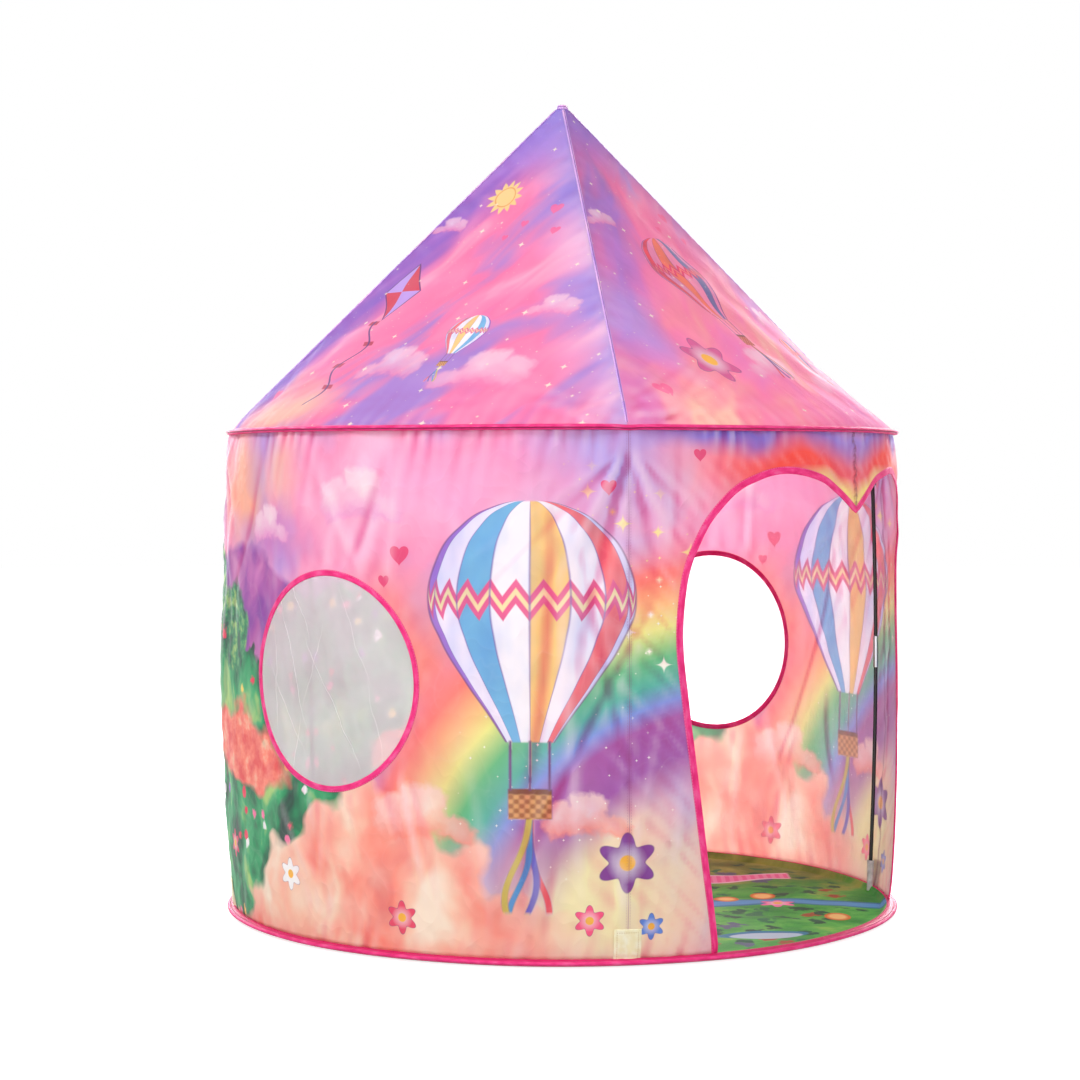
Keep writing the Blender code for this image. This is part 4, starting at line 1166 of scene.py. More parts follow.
def stitch_row(place, middle, pitch, half):
    """A row of stitches along the map's u, at a height v: 1 on the thread."""
    u, v = place.split()
    dash = (u * (1 / pitch)).fraction().near(0.5, 0.34, 0.1)
    return v.near(middle, half, half * 0.6) * dash


# Finishes

# Stitches per metre along the print's seams, and on the patches
SEAM_STITCHES = 260.0
PATCH_STITCHES = 300.0


def new_finish(name, roughness, sheen=0.0, specular=0.5, metallic=0.0, printed=True):
    """A material, its shader and its place: on the print's map, or in the piece's own space."""
    made = bpy.data.materials.new(name)
    made.use_nodes = True
    tree = made.node_tree
    shader = tree.nodes["Principled BSDF"]
    shader.inputs["Roughness"].default_value = roughness
    shader.inputs["Sheen Weight"].default_value = sheen
    shader.inputs["Sheen Roughness"].default_value = 0.4
    shader.inputs["Specular IOR Level"].default_value = specular
    shader.inputs["Metallic"].default_value = metallic
    if not printed:
        return made, shader, Wire(tree, tree.nodes.new("ShaderNodeTexCoord").outputs["Object"])
    where = tree.nodes.new("ShaderNodeUVMap")
    where.uv_map = "print"
    return made, shader, Wire(tree, where.outputs[0])


def bump(shader, height, distance, strength=1.0):
    node = height.tree.nodes.new("ShaderNodeBump")
    node.inputs["Distance"].default_value = distance
    node.inputs["Strength"].default_value = strength
    plug(height, node.inputs["Height"])
    height.tree.links.new(node.outputs[0], shader.inputs["Normal"])


def let_light_through(made, shader, colour, share):
    """Thin cloth: part of the light that falls on it leaves on the other side."""
    tree = made.node_tree
    through = tree.nodes.new("ShaderNodeBsdfTranslucent")
    mixed = tree.nodes.new("ShaderNodeMixShader")
    mixed.inputs[0].default_value = share
    plug(colour, through.inputs["Color"])
    tree.links.new(shader.outputs[0], mixed.inputs[1])
    tree.links.new(through.outputs[0], mixed.inputs[2])
    tree.links.new(mixed.outputs[0], tree.nodes["Material Output"].inputs["Surface"])


def printed_cloth(name, print_group, grain, fade, crush, seams, through, gloss=1.0):
    """Printed polyester. fade is how far the colours pale towards white."""
    made, shader, place = new_finish(name, 0.70 - 0.24 * gloss, 0.14 * gloss, 0.4 * gloss)
    tree = made.node_tree
    (colour,) = use_group(tree, print_group, Place=place)
    if fade:
        colour = lay(colour, "#FFF6FC", fade)
    u, v = place.split()
    for at, code, strength in seams:
        # The cloth is doubled beside a seam, painted darker there as shade, most inside; a line of painted
        # shade runs in its groove, stitches at its sides
        aside = abs(abs(u) - at)
        colour = lay(colour, "#B9A6C4", aside.under(0.0042, 0.001) * (fade * 0.6), "MULTIPLY")
        colour = lay(colour, code, aside.under(0.0007, 0.0008) * strength)
        stitch = (v * SEAM_STITCHES).fraction().near(0.5, 0.3, 0.1) * aside.near(0.0026, 0.0003, 0.0004)
        colour = lay(colour, code, stitch * strength)
    height, crease = use_group(tree, grain, Place=place, Crush=crush)
    # Painted shade in the folds' grooves and painted highlight on their crests, from the fold attribute;
    # the grain's crease lines get a painted highlight too
    mark = tree.nodes.new("ShaderNodeAttribute")
    mark.attribute_name = "fold"
    fold = Wire(tree, mark.outputs["Fac"])
    colour = lay(colour, "#F090C4", (fold * -0.72).clamped(), "MULTIPLY")
    crest_highlight = (fold * 0.34).most(crease * (0.028 * crush)).clamped()
    colour = lay(colour, "#FFF4FB", crest_highlight)
    plug(colour, shader.inputs["Base Color"])
    if seams:
        beside = abs(u).sum("MINIMUM", abs(abs(u) - seams[-1][0]))
        slant = v * 640.0 + beside * 420.0 + noise(place, 40.0, 1.0) * 5.0
        gather = (1.0 - beside * 90.0).most(0.0)
        height = height + slant.sine() * gather * 0.9
        # Dark dashes painted along the puckers beside the seams: painted shade of the puckers
        pucker_shade = (slant.sine() * gather).over(0.45, 0.3)
        colour = lay(colour, "#A83058", pucker_shade * 0.3)
        plug(colour, shader.inputs["Base Color"])
    bump(shader, height, 0.0012)
    let_light_through(made, shader, lay(colour, "#FFFFFF", fade), through)
    return made


def tape_finish(name, grooves):
    """Ribbed pink tape. grooves are the heights round its section where it folds or is sewn down, painted
    darker as shade.
    """
    made, shader, place = new_finish(name, 0.5, 0.05, 0.3)
    u, v = place.split()
    shade = noise(place.scaled(1.0, 3.0), 45.0, 3.0)
    colour = ramp(shade, [(0.3, "#F0267D"), (0.55, "#FF3F92"), (0.75, "#FF66A8")])
    ribs = (u * 5200.0).sine() * 0.2 + noise(place, 220.0, 2.0) * 0.5
    for at, half, code in grooves:
        # Each groove is sunk and painted in its darker colour: painted shade
        sunk = v.near(at, half, half)
        colour = lay(colour, code, sunk * 0.85)
        ribs = ribs - sunk * 1.2
    thread = stitch_row(place, 0.0022, 0.0042, 0.0004)
    colour = lay(colour, "#FF9AC6", thread * 0.7)
    plug(colour, shader.inputs["Base Color"])
    bump(shader, ribs + thread * 0.8, 0.0004)
    let_light_through(made, shader, colour, 0.22)
    return made


def net_finish():
    """White polyester net, with the sharp pale creases that folding leaves in it."""
    made, shader, place = new_finish("window_net", 0.55, 0.1, 0.3)
    u, v = place.split()
    crumple = noise(place, 9.0, 3.0, 0.6)
    bent = watery(point(u - u.sum("ROUND"), v - WINDOW_HEIGHT), 0.012, 16.0)
    lines = []
    for x, y, lean, half, strength in NET_CREASES:
        across, along = moved(bent, (x, y), 1.0).split()
        line = abs(across + along * lean).under(0.0005, 0.0012) * abs(along).under(half, 0.05)
        lines.append(line * strength)
    creases = largest(lines)
    holes = (u * 4600.0).sine() * (v * 4600.0).sine()
    cover = 0.29 + holes * 0.07 + creases * 0.5 + (crumple - 0.5) * 0.25
    plug(cover.clamped(), shader.inputs["Alpha"])
    colour = lay("#F8F7FA", "#FFFFFF", creases)
    plug(colour, shader.inputs["Base Color"])
    bump(shader, creases + crumple * 0.6, 0.002, 0.6)
    let_light_through(made, shader, colour, 0.20)
    return made


def plain_cloth(name, code, light_code, roughness, box=None):
    """Plain woven cloth. box is the half width and the height of a sewn outline on it."""
    made, shader, place = new_finish(name, roughness, 0.3, 0.3)
    u, v = place.split()
    colour = ramp(noise(place, 90.0, 3.0), [(0.35, code), (0.7, light_code)])
    height = (u * 3900.0).sine() * 0.2 + (v * 3900.0).sine() * 0.2 + noise(place, 120.0, 2.0)
    if box is not None:
        beside, over = abs(abs(u) - box[0]), abs(v - box[1])
        sides = beside.under(0.0004, 0.0003) * (v * PATCH_STITCHES).fraction().near(0.5, 0.33, 0.1)
        top = over.under(0.0004, 0.0003) * (u * PATCH_STITCHES).fraction().near(0.5, 0.33, 0.1)
        thread = (sides * v.under(box[1], 0.0004)).most(top * abs(u).under(box[0], 0.0004))
        colour = lay(colour, "#D2B47C", thread * 0.8)
        height = height + thread - beside.under(0.0008, 0.001) * 0.8
    plug(colour, shader.inputs["Base Color"])
    bump(shader, height, 0.0004)
    return made


def ridge_finish():
    """The felled seam on a ridge: lilac cloth, with a dark line along a sunk groove and a row of pale
    stitches.
    """
    made, shader, place = new_finish("ridge_seam", 0.45, 0.25, 0.4)
    u, v = place.split()
    tone = noise(place.scaled(1.0, 3.0), 14.0, 3.0)
    colour = ramp(tone, [(0.35, "#B98BE0"), (0.55, "#D9A2E8"), (0.7, "#F3B9E4")])
    colour = lay(colour, "#5E2F86", v.near(0.0038, 0.0005, 0.0005) * 0.9)
    thread = stitch_row(place, 0.0014, 0.0036, 0.0003)
    colour = lay(colour, "#EBD8F6", thread)
    plug(colour, shader.inputs["Base Color"])
    bump(shader, thread * 0.8 - v.near(0.0038, 0.0005, 0.0006) + noise(place, 160.0, 2.0) * 0.4, 0.0005)
    return made


def rod_finish():
    """Glass-fibre rod: smooth black with faint lengthwise lines and rubbed specks."""
    made, shader, place = new_finish("rod_black", 0.32, printed=False)
    streak = noise(place.scaled(6.0, 6.0, 0.3), 60.0, 3.0)
    plug(ramp(streak, [(0.35, "#0B0B0D"), (0.7, "#1E1E22")]), shader.inputs["Base Color"])
    plug(streak * 0.3 + 0.2, shader.inputs["Roughness"])
    return made


def steel_finish(name, dark, light, low, high):
    """Drawn steel between two tones and two roughnesses, rubbed along its length."""
    made, shader, place = new_finish(name, 0.3, metallic=1.0, printed=False)
    rub = noise(place.scaled(1.0, 1.0, 6.0), 140.0, 4.0, 0.6)
    plug(ramp(rub, [(0.3, dark), (0.7, light)]), shader.inputs["Base Color"])
    plug(rub * (high - low) + low, shader.inputs["Roughness"])
    return made


def hub_finish():
    """Black moulded plastic with a fine spark-eroded grain."""
    made, shader, place = new_finish("hub_plastic", 0.5, printed=False)
    grain = noise(place, 900.0, 2.0)
    plug(ramp(grain, [(0.3, "#141416"), (0.7, "#222226")]), shader.inputs["Base Color"])
    bump(shader, grain, 0.0002, 0.6)
    return made


# Pieces

def flatten_with_wall(piece, node=None):
    """Gives the piece its own mesh, and hides the node of the model whose place it takes, if one is given.
    """
    if node is not None:
        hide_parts(node)
    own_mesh(piece)
    return piece


def flatten_with_roof(piece):
    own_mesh(piece)


def wall_cloth(side_name, side, outer, inner):
    """Half of the wall, cut for the doorway and a window, from seam to seam."""
    columns = round(math.pi * HEM_RADIUS / WALL_CELL)
    rows = round((WALL_TOP - WALL_BOTTOM) / WALL_CELL)
    azimuth = np.linspace(0.0, 180.0 * side, columns + 1)
    if side < 0:
        azimuth = azimuth[::-1]
    height = WALL_HEAD - (WALL_HEAD - WALL_HEM) * np.linspace(1.0, 0.0, rows + 1) ** 1.2
    azimuth, height = (a.ravel() for a in np.meshgrid(azimuth, height))
    faces = grid_faces(rows + 1, columns + 1)

    inset = -TAPE_WIDTH / 2
    line = door_line(TAPE_WIDTH / 2)
    flat = np.stack([wall_radius(azimuth, height) * np.sin(np.radians(azimuth)), height], axis=-1)
    front = np.abs(azimuth) < DOOR_REACH
    in_door = inside_door(flat, line) & front
    _, nearest = line_distance(flat, line)
    gap, turn = window_gap(azimuth, height)
    in_window = gap < inset
    cut = in_door | in_window
    keep = ~cut[faces].all(axis=1)
    faces = faces[keep]
    used = np.zeros(len(azimuth), bool)
    used[faces.ravel()] = True

    snap = used & in_door
    height[snap] = nearest[snap, 1]
    azimuth[snap] = azimuth_of(nearest[snap, 0], nearest[snap, 1])
    snap = used & in_window
    edge = WINDOW_RADIUS + inset
    height[snap] = WINDOW_HEIGHT + edge * np.sin(turn[snap])
    aside = np.degrees(np.arcsin(edge * np.cos(turn[snap]) / WINDOW_WALL_RADIUS))
    azimuth[snap] = side * (WINDOW_AZIMUTH + aside)

    number = np.cumsum(used) - 1
    places = np.stack([np.radians(azimuth) * HEM_RADIUS, height], axis=-1)[used]
    verts = wall_surface(azimuth[used], height[used])
    piece = new_piece(
        "wall_cloth_" + side_name, verts, number[faces], "base", outer
    )
    rise = np.zeros(len(used))
    rise[used] = np.hypot(verts[:, 0], verts[:, 1]) - wall_radius(azimuth[used], height[used])
    keep_shade(piece, fold_shade(rise.reshape(rows + 1, columns + 1), 2).ravel()[used])
    give_print_map(piece, places)
    thicken(piece, CLOTH_THICKNESS, inner)
    return flatten_with_wall(piece, "wall_" + side_name)


def tape_section(width, thickness):
    """A flat folded tape's section, with a round fold on its open side."""
    half = thickness / 2
    points = [(0.0, -half * 0.6), (0.0, half * 0.6), (0.0008, half)]
    points += [(width * share, half) for share in (0.3, 0.6, 0.85)]
    for angle in (60, 20, -20, -60):
        turn = math.radians(angle)
        points.append((width - half + half * math.cos(turn), half * math.sin(turn)))
    points += [(width * share, -half) for share in (0.85, 0.6, 0.3)]
    points.append((0.0008, -half))
    return points


def tape_frames(path, outs):
    """Side vectors that point along the cloth, square to the path."""
    run = np.gradient(path, axis=0)
    run /= np.linalg.norm(run, axis=1)[:, None]
    side = np.cross(outs, run)
    side /= np.linalg.norm(side, axis=1)[:, None]
    return side


def door_tape(finish):
    line = door_line(0.0)
    spacing = np.concatenate([[0.0], np.cumsum(np.linalg.norm(np.diff(line, axis=0), axis=1))])
    even = np.linspace(0.0, spacing[-1], round(spacing[-1] / 0.006))
    cusp = spacing[len(line) // 2]
    even[np.argmin(np.abs(even - cusp))] = cusp
    x = np.interp(even, spacing, line[:, 0])
    z = np.maximum(np.interp(even, spacing, line[:, 1]), WALL_BOTTOM - 0.006)
    keep = np.concatenate([[True], np.hypot(np.diff(x), np.diff(z)) > 1e-5])
    azimuth = azimuth_of(x[keep], z[keep])
    path = wall_surface(azimuth, z[keep], -CLOTH_THICKNESS / 2)
    outs = out_along(azimuth)
    side = -tape_frames(path, outs)
    piece = sweep(
        "door_tape", path, side, outs, tape_section(TAPE_WIDTH, TAPE_THICKNESS), False,
        "base", finish,
    )
    return flatten_with_wall(piece, "door_binding")


def window_ring(side, radius, count):
    """Azimuths and heights round a window."""
    turn = np.linspace(0.0, 2 * math.pi, count, endpoint=False)
    aside = np.degrees(np.arcsin(radius * np.cos(turn) / WINDOW_WALL_RADIUS))
    return side * (WINDOW_AZIMUTH + aside), WINDOW_HEIGHT + radius * np.sin(turn)


def window_tape(side_name, side, finish):
    azimuth, height = window_ring(side, WINDOW_RADIUS, WINDOW_STEPS)
    path = wall_surface(azimuth, height, -CLOTH_THICKNESS / 2)
    outs = out_along(azimuth)
    middle = path.mean(axis=0)
    inward = middle - path
    inward -= outs * (inward * outs).sum(axis=1)[:, None]
    inward /= np.linalg.norm(inward, axis=1)[:, None]
    piece = sweep(
        "window_tape_" + side_name, path, inward, outs, tape_section(WINDOW_TAPE_WIDTH, TAPE_THICKNESS),
        True, "base", finish,
    )
    return flatten_with_wall(piece, "window_binding_" + side_name)


def window_net(side_name, side, finish):
    """The net in a window: slack, with soft folds across it."""
    reach = WINDOW_RADIUS - TAPE_WIDTH / 2
    spots, faces = disc_grid(reach, 56)
    azimuth = side * (WINDOW_AZIMUTH + np.degrees(np.arcsin(spots[:, 0] / WINDOW_WALL_RADIUS)))
    height = WINDOW_HEIGHT + spots[:, 1]
    radius = wall_radius(azimuth, height) - CLOTH_THICKNESS / 2
    aside = HEM_RADIUS * np.radians(azimuth - side * WINDOW_AZIMUTH)
    rise = height - WINDOW_HEIGHT
    slack = 1 - (np.hypot(aside, rise) / reach) ** 2
    fold = wave(aside * 0.9 + rise * 0.35, NET_FOLD) + wave(aside * 0.5 - rise * 0.6, NET_CROSS_FOLD)
    radius = radius + (fold - NET_SAG) * np.clip(slack, 0, 1)
    verts = out_along(azimuth) * radius[:, None]
    verts[:, 2] = height
    if side < 0:
        faces = faces[:, ::-1]
    piece = new_piece("window_net_" + side_name, verts, faces, "base", finish)
    give_print_map(piece, np.stack([aside + side, height], axis=-1))
    thicken(piece, NET_THICKNESS)
    return flatten_with_wall(piece, "window_mesh_" + side_name)


# Sections of the tapes over the hoops, in (out from the tape's root, up), in metres
HOOP_TAPE_DEPTH = 0.0142
HOOP_STEPS = 540
EAVE_TAPE_SECTION = [
    (-0.0020, 0.0034), (0.0, 0.0037), (0.0045, 0.0040), (0.0085, 0.0038), (0.0115, 0.0030),
    (0.0134, 0.0017), (0.0142, 0.0003), (0.0138, -0.0009), (0.0127, -0.0016), (0.0124, -0.0021),
    (0.0128, -0.0026), (0.0119, -0.0034), (0.0090, -0.0040), (0.0045, -0.0042), (0.0, -0.0040),
    (-0.0020, -0.0036),
]
BASE_TAPE_SECTION = [
    (-0.0020, 0.0103), (0.0, 0.0107), (0.0030, 0.0107), (0.0060, 0.0102), (0.0082, 0.0092),
    (0.0088, 0.0088), (0.0096, 0.0091), (0.0116, 0.0088), (0.0133, 0.0077), (0.0142, 0.0062),
    (0.0138, 0.0048), (0.0122, 0.0037), (0.0098, 0.0030), (0.0060, 0.0014), (0.0020, 0.0003),
    (-0.0020, 0.0001),
]


def base_tape_rise(azimuth):
    """How the base tape lifts a little off the ground, nine times round."""
    return 0.0002 + 0.0002 * np.cos(np.radians(azimuth * 9))


def eave_tape_rise(azimuth):
    """How the eave tape waves a little, and dips where the photograph's front seam meets it."""
    dip = 0.0012 * hump(azimuth - (360.0 - POLE_AZIMUTH), 1.5)
    return 0.0003 * np.cos(np.radians(azimuth * 7)) - dip


def hoop_tape(name, node, body, middle, section, rise, finish):
    """Tape folded over a hoop and sewn down behind it, so that a groove runs beside the hoop."""
    azimuth = np.linspace(0.0, 360.0, HOOP_STEPS, endpoint=False)
    path = out_along(azimuth) * (OUTER_RADIUS - HOOP_TAPE_DEPTH)
    path[:, 2] = middle + rise(azimuth)
    outs = np.zeros_like(path)
    outs[:, 2] = 1.0
    piece = sweep(name, path, out_along(azimuth), outs, section, True, body, finish)
    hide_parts(node)
    return piece


def roof_surface(middle, across, up):
    """Points on a roof panel: across is -1 to 1 between its ridges, and up 0 to 1."""
    ridge = ROOF_EDGE_RADIUS + (ROOF_TOP_RADIUS - ROOF_EDGE_RADIUS) * up
    ridge = ridge - EAVE_DRAW_IN * fading(np.clip(up, 0, 1), EAVE_DRAW_SHARE)
    aside = across * POLE_AZIMUTH
    flat = PANEL_FLATNESS * (1 - (1 - np.clip(up, 0, 1)) ** 2)
    chord = math.cos(math.radians(POLE_AZIMUTH)) / np.cos(np.radians(aside))
    radius = ridge * (1 + (chord - 1) * flat)
    points = out_along(middle + aside) * radius[..., None]
    points[..., 2] = ROOF_EDGE_HEIGHT + (ROOF_TOP - ROOF_EDGE_HEIGHT) * up

    # Within a cell of the fold line no fold changes with height, so the two parts meet smoothly
    past = (up - FOLD_UP) * ROOF_SLOPE
    slope = FOLD_UP * ROOF_SLOPE + np.sign(past) * np.maximum(np.abs(past) - ROOF_CELL, 0.0)
    width = ridge * math.radians(POLE_AZIMUTH)
    place = across * width
    to_ridge = (1 - np.abs(across)) * width
    seed = round(middle) + 400
    rise = -PANEL_SAG * np.sin(math.pi * np.clip(up, 0, 1)) * (1 - across**2)
    rise = rise + wave(place, ROOF_EAVE_WAVE, seed) * fading(slope, 0.03)
    rise = rise + wave(slope + 0.5 * to_ridge, ROOF_RIDGE_WAVE, seed) * fading(to_ridge, 0.03)
    loose = smooth(to_ridge, 0.0, 0.06) * smooth(slope, 0.0, 0.05)
    rise = rise + wave(place + 0.4 * slope, ROOF_CROSS_WAVE, seed) * loose
    rise = rise + wave(slope - 0.3 * place, ROOF_SLOPE_WAVE, seed) * loose
    chance = np.random.default_rng(seed)
    for _ in range(CORNER_FOLDS):
        corner = chance.choice([-1.0, 1.0])
        tilt = chance.uniform(0.05, 0.75)
        aim = (place - corner * CORNER_START) * -corner
        off = (slope - tilt * aim + chance.uniform(-0.02, 0.10)) / chance.uniform(0.006, 0.014)
        reach = hump(aim, chance.uniform(0.10, 0.30)) * smooth(to_ridge, 0.0, 0.02)
        rise = rise + chance.uniform(-0.0011, 0.0011) * np.exp(-off * off) * reach
    rise = rise * smooth(to_ridge, 0.0, 0.012) * ROOF_FOLD_GAIN
    points = points + out_along(middle + aside * 0.5) * rise[..., None] / math.sin(ROOF_LEAN)
    return points, np.stack([place, up * ROOF_SLOPE], axis=-1), rise


def roof_cloth(panel, middle, number, outer, inner):
    """A roof panel: its cloth above the fold line, and the band under it."""
    columns = round(2 * ROOF_EDGE_RADIUS * math.radians(POLE_AZIMUTH) / ROOF_CELL)
    band_rows = round((FOLD_UP - ROOF_HEM) * ROOF_SLOPE / ROOF_CELL)
    other_rows = round((1 - FOLD_UP) * ROOF_SLOPE / ROOF_CELL)
    rows = np.concatenate([
        np.linspace(ROOF_HEM, FOLD_UP, band_rows, endpoint=False), np.linspace(FOLD_UP, 1, other_rows + 1),
    ])
    across, up = np.meshgrid(np.linspace(-1, 1, columns + 1), rows)
    points, places, rise = roof_surface(middle, across, up)
    places[..., 0] += 2.0 * number
    shade = (fold_shade(rise, 2) + fold_shade(rise.T, 2).T) * 0.45
    pieces = []
    for name, part in (("roof_cloth_", slice(band_rows, None)), ("roof_band_", slice(0, band_rows + 1))):
        grid = points[part]
        faces = grid_faces(len(grid), columns + 1)
        piece = new_piece(name + panel, grid.reshape(-1, 3), faces, "eave", outer)
        keep_shade(piece, shade[part])
        give_print_map(piece, places[part].reshape(-1, 2))
        thicken(piece, CLOTH_THICKNESS, inner, edges=False)
        pieces.append(piece)
    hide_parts("roof_panel_" + panel)
    flatten_with_roof(pieces[0])
    return pieces


def ridge_seam(name, azimuth, low, high, finish):
    """A flat-felled seam over part of a ridge."""
    up = np.linspace(low, high, round((high - low) * 240) + 1)
    path, _, _ = roof_surface(azimuth - POLE_AZIMUTH, np.ones_like(up), up)
    side = np.broadcast_to(out_along(np.array(azimuth + 90.0)), path.shape)
    normal = out_along(np.array(azimuth)) * math.sin(ROOF_LEAN) + np.array([0.0, 0.0, math.cos(ROOF_LEAN)])
    path = path + normal * wave(up * ROOF_SLOPE, RIDGE_PINCH)[:, None]
    section = [
        (-0.0025, -0.0008), (-0.0023, -0.0001), (-0.0012, 0.0005), (0.0, 0.0009), (0.0012, 0.0006),
        (0.0023, 0.0), (0.0025, -0.0008), (0.0012, -0.0004), (0.0, 0.0001), (-0.0012, -0.0004),
    ]
    return sweep(
        name, path, side, np.broadcast_to(normal, path.shape), section, False, "eave", finish,
    )


def wall_seam(name, azimuth, low, high, finish):
    """A felled seam up the wall, drawn in by its thread; it bears the wall's own print."""
    height = np.linspace(low, high, round((high - low) / 0.0018))
    path = wall_surface(azimuth, height, 0.0001)
    outs = np.broadcast_to(out_along(np.array(azimuth)), path.shape)
    side = np.broadcast_to(out_along(np.array(azimuth + 90.0)), path.shape)
    half = SEAM_HALF_WIDTH
    section = [
        (-half, -0.0002), (-half, 0.0005), (-half / 2, 0.0010), (-0.0004, 0.0008), (half / 2, 0.0010),
        (half, 0.0005), (half, -0.0002),
    ]
    path = path + outs * wave(height, SEAM_PINCH)[:, None]
    piece = sweep(name, path, side, outs, section, False, "base", finish)
    arc = math.radians(azimuth) * HEM_RADIUS
    places = [(arc + s, z) for z in height for s, _ in section]
    piece.data.uv_layers.remove(piece.data.uv_layers["print"])
    give_print_map(piece, places)
    return flatten_with_wall(piece)


def floor_mat(finish):
    """The floor: it swells a little on its way to the hoop, and turns up at its edge."""
    spots, faces = disc_grid(MAT_EDGE, MAT_CELLS)
    x, y = spots.T
    far = np.hypot(x, y)
    calm = smooth(MAT_EDGE - far, 0.03, 0.12)
    swell = ripple(x + 0.4 * y, (0.21, 0.13, 0.08), 31) + ripple(y - 0.3 * x, (0.17, 0.11), 32)
    turned_up = MAT_TURN_UP * smooth(far, MAT_EDGE - MAT_TURN_WIDTH, MAT_EDGE)
    z = FLOOR_TOP + MAT_SWELL * (swell + 1.6) * calm + turned_up
    piece = new_piece("floor_mat", np.stack([x, y, z], axis=-1), faces, "base", finish)
    give_print_map(piece, np.stack([x, y], axis=-1))
    thicken(piece, MAT_THICKNESS)
    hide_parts("floor")
    return piece


def foot_patch(corner, azimuth, finish):
    """Cream patch sewn on the wall outside a pole's foot, with its lower edge in the tape."""
    half = PATCH_HALF_WIDTH
    rows, columns = 22, 18
    side, up = np.meshgrid(np.linspace(-1, 1, columns + 1), np.linspace(0, 1, rows + 1))
    height = PATCH_LOW + (PATCH_HIGH - PATCH_LOW) * up
    angle = azimuth + np.degrees(side * half / OUTER_RADIUS)
    radius = wall_radius(angle, height) + wall_folds(angle, height) + PATCH_PROUD
    radius = radius + PATCH_BULGE * np.exp(-((side / 0.35) ** 2) - ((up - 0.1) / 0.4) ** 2)
    radius = radius + 0.0004 * ripple(side * half + up * 0.01, (0.011, 0.019), round(azimuth) + 500)
    points = out_along(angle) * radius[..., None]
    points[..., 2] = height
    piece = new_piece(
        "foot_patch_cloth_" + corner, points.reshape(-1, 3), grid_faces(rows + 1, columns + 1),
        "base", finish,
    )
    places = np.stack([side * half, height - PATCH_LOW], axis=-1)
    give_print_map(piece, places.reshape(-1, 2))
    thicken(piece, MAT_THICKNESS)
    return flatten_with_wall(piece, "foot_patch_" + corner)


def pole_point(azimuth, height):
    """A point on a wall pole's middle line, which bows outwards a little."""
    share = (height - POLE_FOOT) / (POLE_HEAD - POLE_FOOT)
    point_on = out_along(np.array(azimuth)) * (POLE_RADIUS + POLE_BOW * math.sin(math.pi * share))
    point_on[2] = height
    return point_on


def pocket(name, node, body, azimuth, closed_end, mouth, finish, rim_finish):
    """A sewn sleeve over a pole's end: closed at one end, with a taped rim at its mouth."""
    steps, sides = 16, 24
    start, end = pole_point(azimuth, closed_end), pole_point(azimuth, mouth)
    axis = (end - start) / np.linalg.norm(end - start)
    out = out_along(np.array(azimuth))
    out = out - axis * (out @ axis)
    out /= np.linalg.norm(out)
    across = np.cross(axis, out)
    long = np.linalg.norm(end - start)
    rings = [(share, POCKET_RADIUS + POCKET_FLARE * share, 1.0) for share in np.linspace(0.0, 1.0, steps)]
    rings += [(1.0, 0.0053, 0.0), (0.82, POCKET_RADIUS, 0.0), (0.8, 0.0036, 0.0)]
    verts, places = [], []
    for share, radius, crease in rings:
        for k in range(sides):
            turn = 2 * math.pi * k / sides
            twist = 0.035 * math.sin(3 * turn + 6 * share) + 0.02 * math.sin(5 * turn - 9 * share)
            fold = 1 + crease * twist
            offset = across * math.cos(turn) * radius * fold
            offset = offset + out * math.sin(turn) * radius * fold * POCKET_FLATNESS
            verts.append(start + axis * long * share + offset)
            places.append((turn * radius, share * long))
    faces = [tuple(face) for face in grid_faces(len(rings), sides, closed=True)]
    faces.append(tuple(reversed(range(sides))))
    faces.append(tuple(range(len(verts) - sides, len(verts))))
    piece = new_piece(name, verts, faces, body, finish)
    give_print_map(piece, places)
    outward(piece)
    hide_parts(node)

    turns = np.linspace(0.0, 2 * math.pi, sides, endpoint=False)
    around = np.cos(turns)[:, None] * across + POCKET_FLATNESS * np.sin(turns)[:, None] * out
    ring = end + around * POCKET_RIM_RADIUS
    section = [(-0.0016, -0.0004), (-0.0016, 0.0006), (0.0, 0.0009), (0.0012, 0.0005), (0.0012, -0.0004)]
    sweep(
        name + "_rim", ring, np.broadcast_to(axis, ring.shape), around, section, True,
        body, rim_finish,
    )
    return piece


def apex_cap(finish):
    """The small flat top where the panels are gathered and sewn off."""
    section = [
        (0.0044, CAP_HIGH - 0.0002), (0.0068, CAP_HIGH - 0.0008), (0.0079, CAP_HIGH - 0.0022),
        (0.0086, CAP_LOW + 0.0022), (0.0100, CAP_LOW - 0.0004), (0.0088, CAP_LOW - 0.0006),
    ]
    sides = 48
    verts = [(0.0, 0.0, CAP_HIGH)]
    for radius, height in section:
        for k in range(sides):
            turn = 2 * math.pi * k / sides
            pleat = 1 + 0.035 * math.sin(10 * turn) + 0.02 * math.sin(4 * turn + 1)
            verts.append((radius * pleat * math.cos(turn), radius * pleat * math.sin(turn), height))
    verts.append((0.0, 0.0, CAP_LOW + 0.0003))
    last = len(verts) - 1
    faces = [(0, 1 + k, 1 + (k + 1) % sides) for k in range(sides)]
    faces += [tuple(face) for face in grid_faces(len(section), sides, closed=True) + 1]
    faces += [(last, last - sides + (k + 1) % sides, last - sides + k) for k in range(sides)]
    piece = new_piece("apex_cap_cloth", verts, faces, "apex", finish)
    give_print_map(piece, [(math.atan2(v[1], v[0]) * 0.008, v[2] - CAP_LOW) for v in verts])
    outward(piece)
    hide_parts("apex_cap")
    return piece


# Camera, light and stage

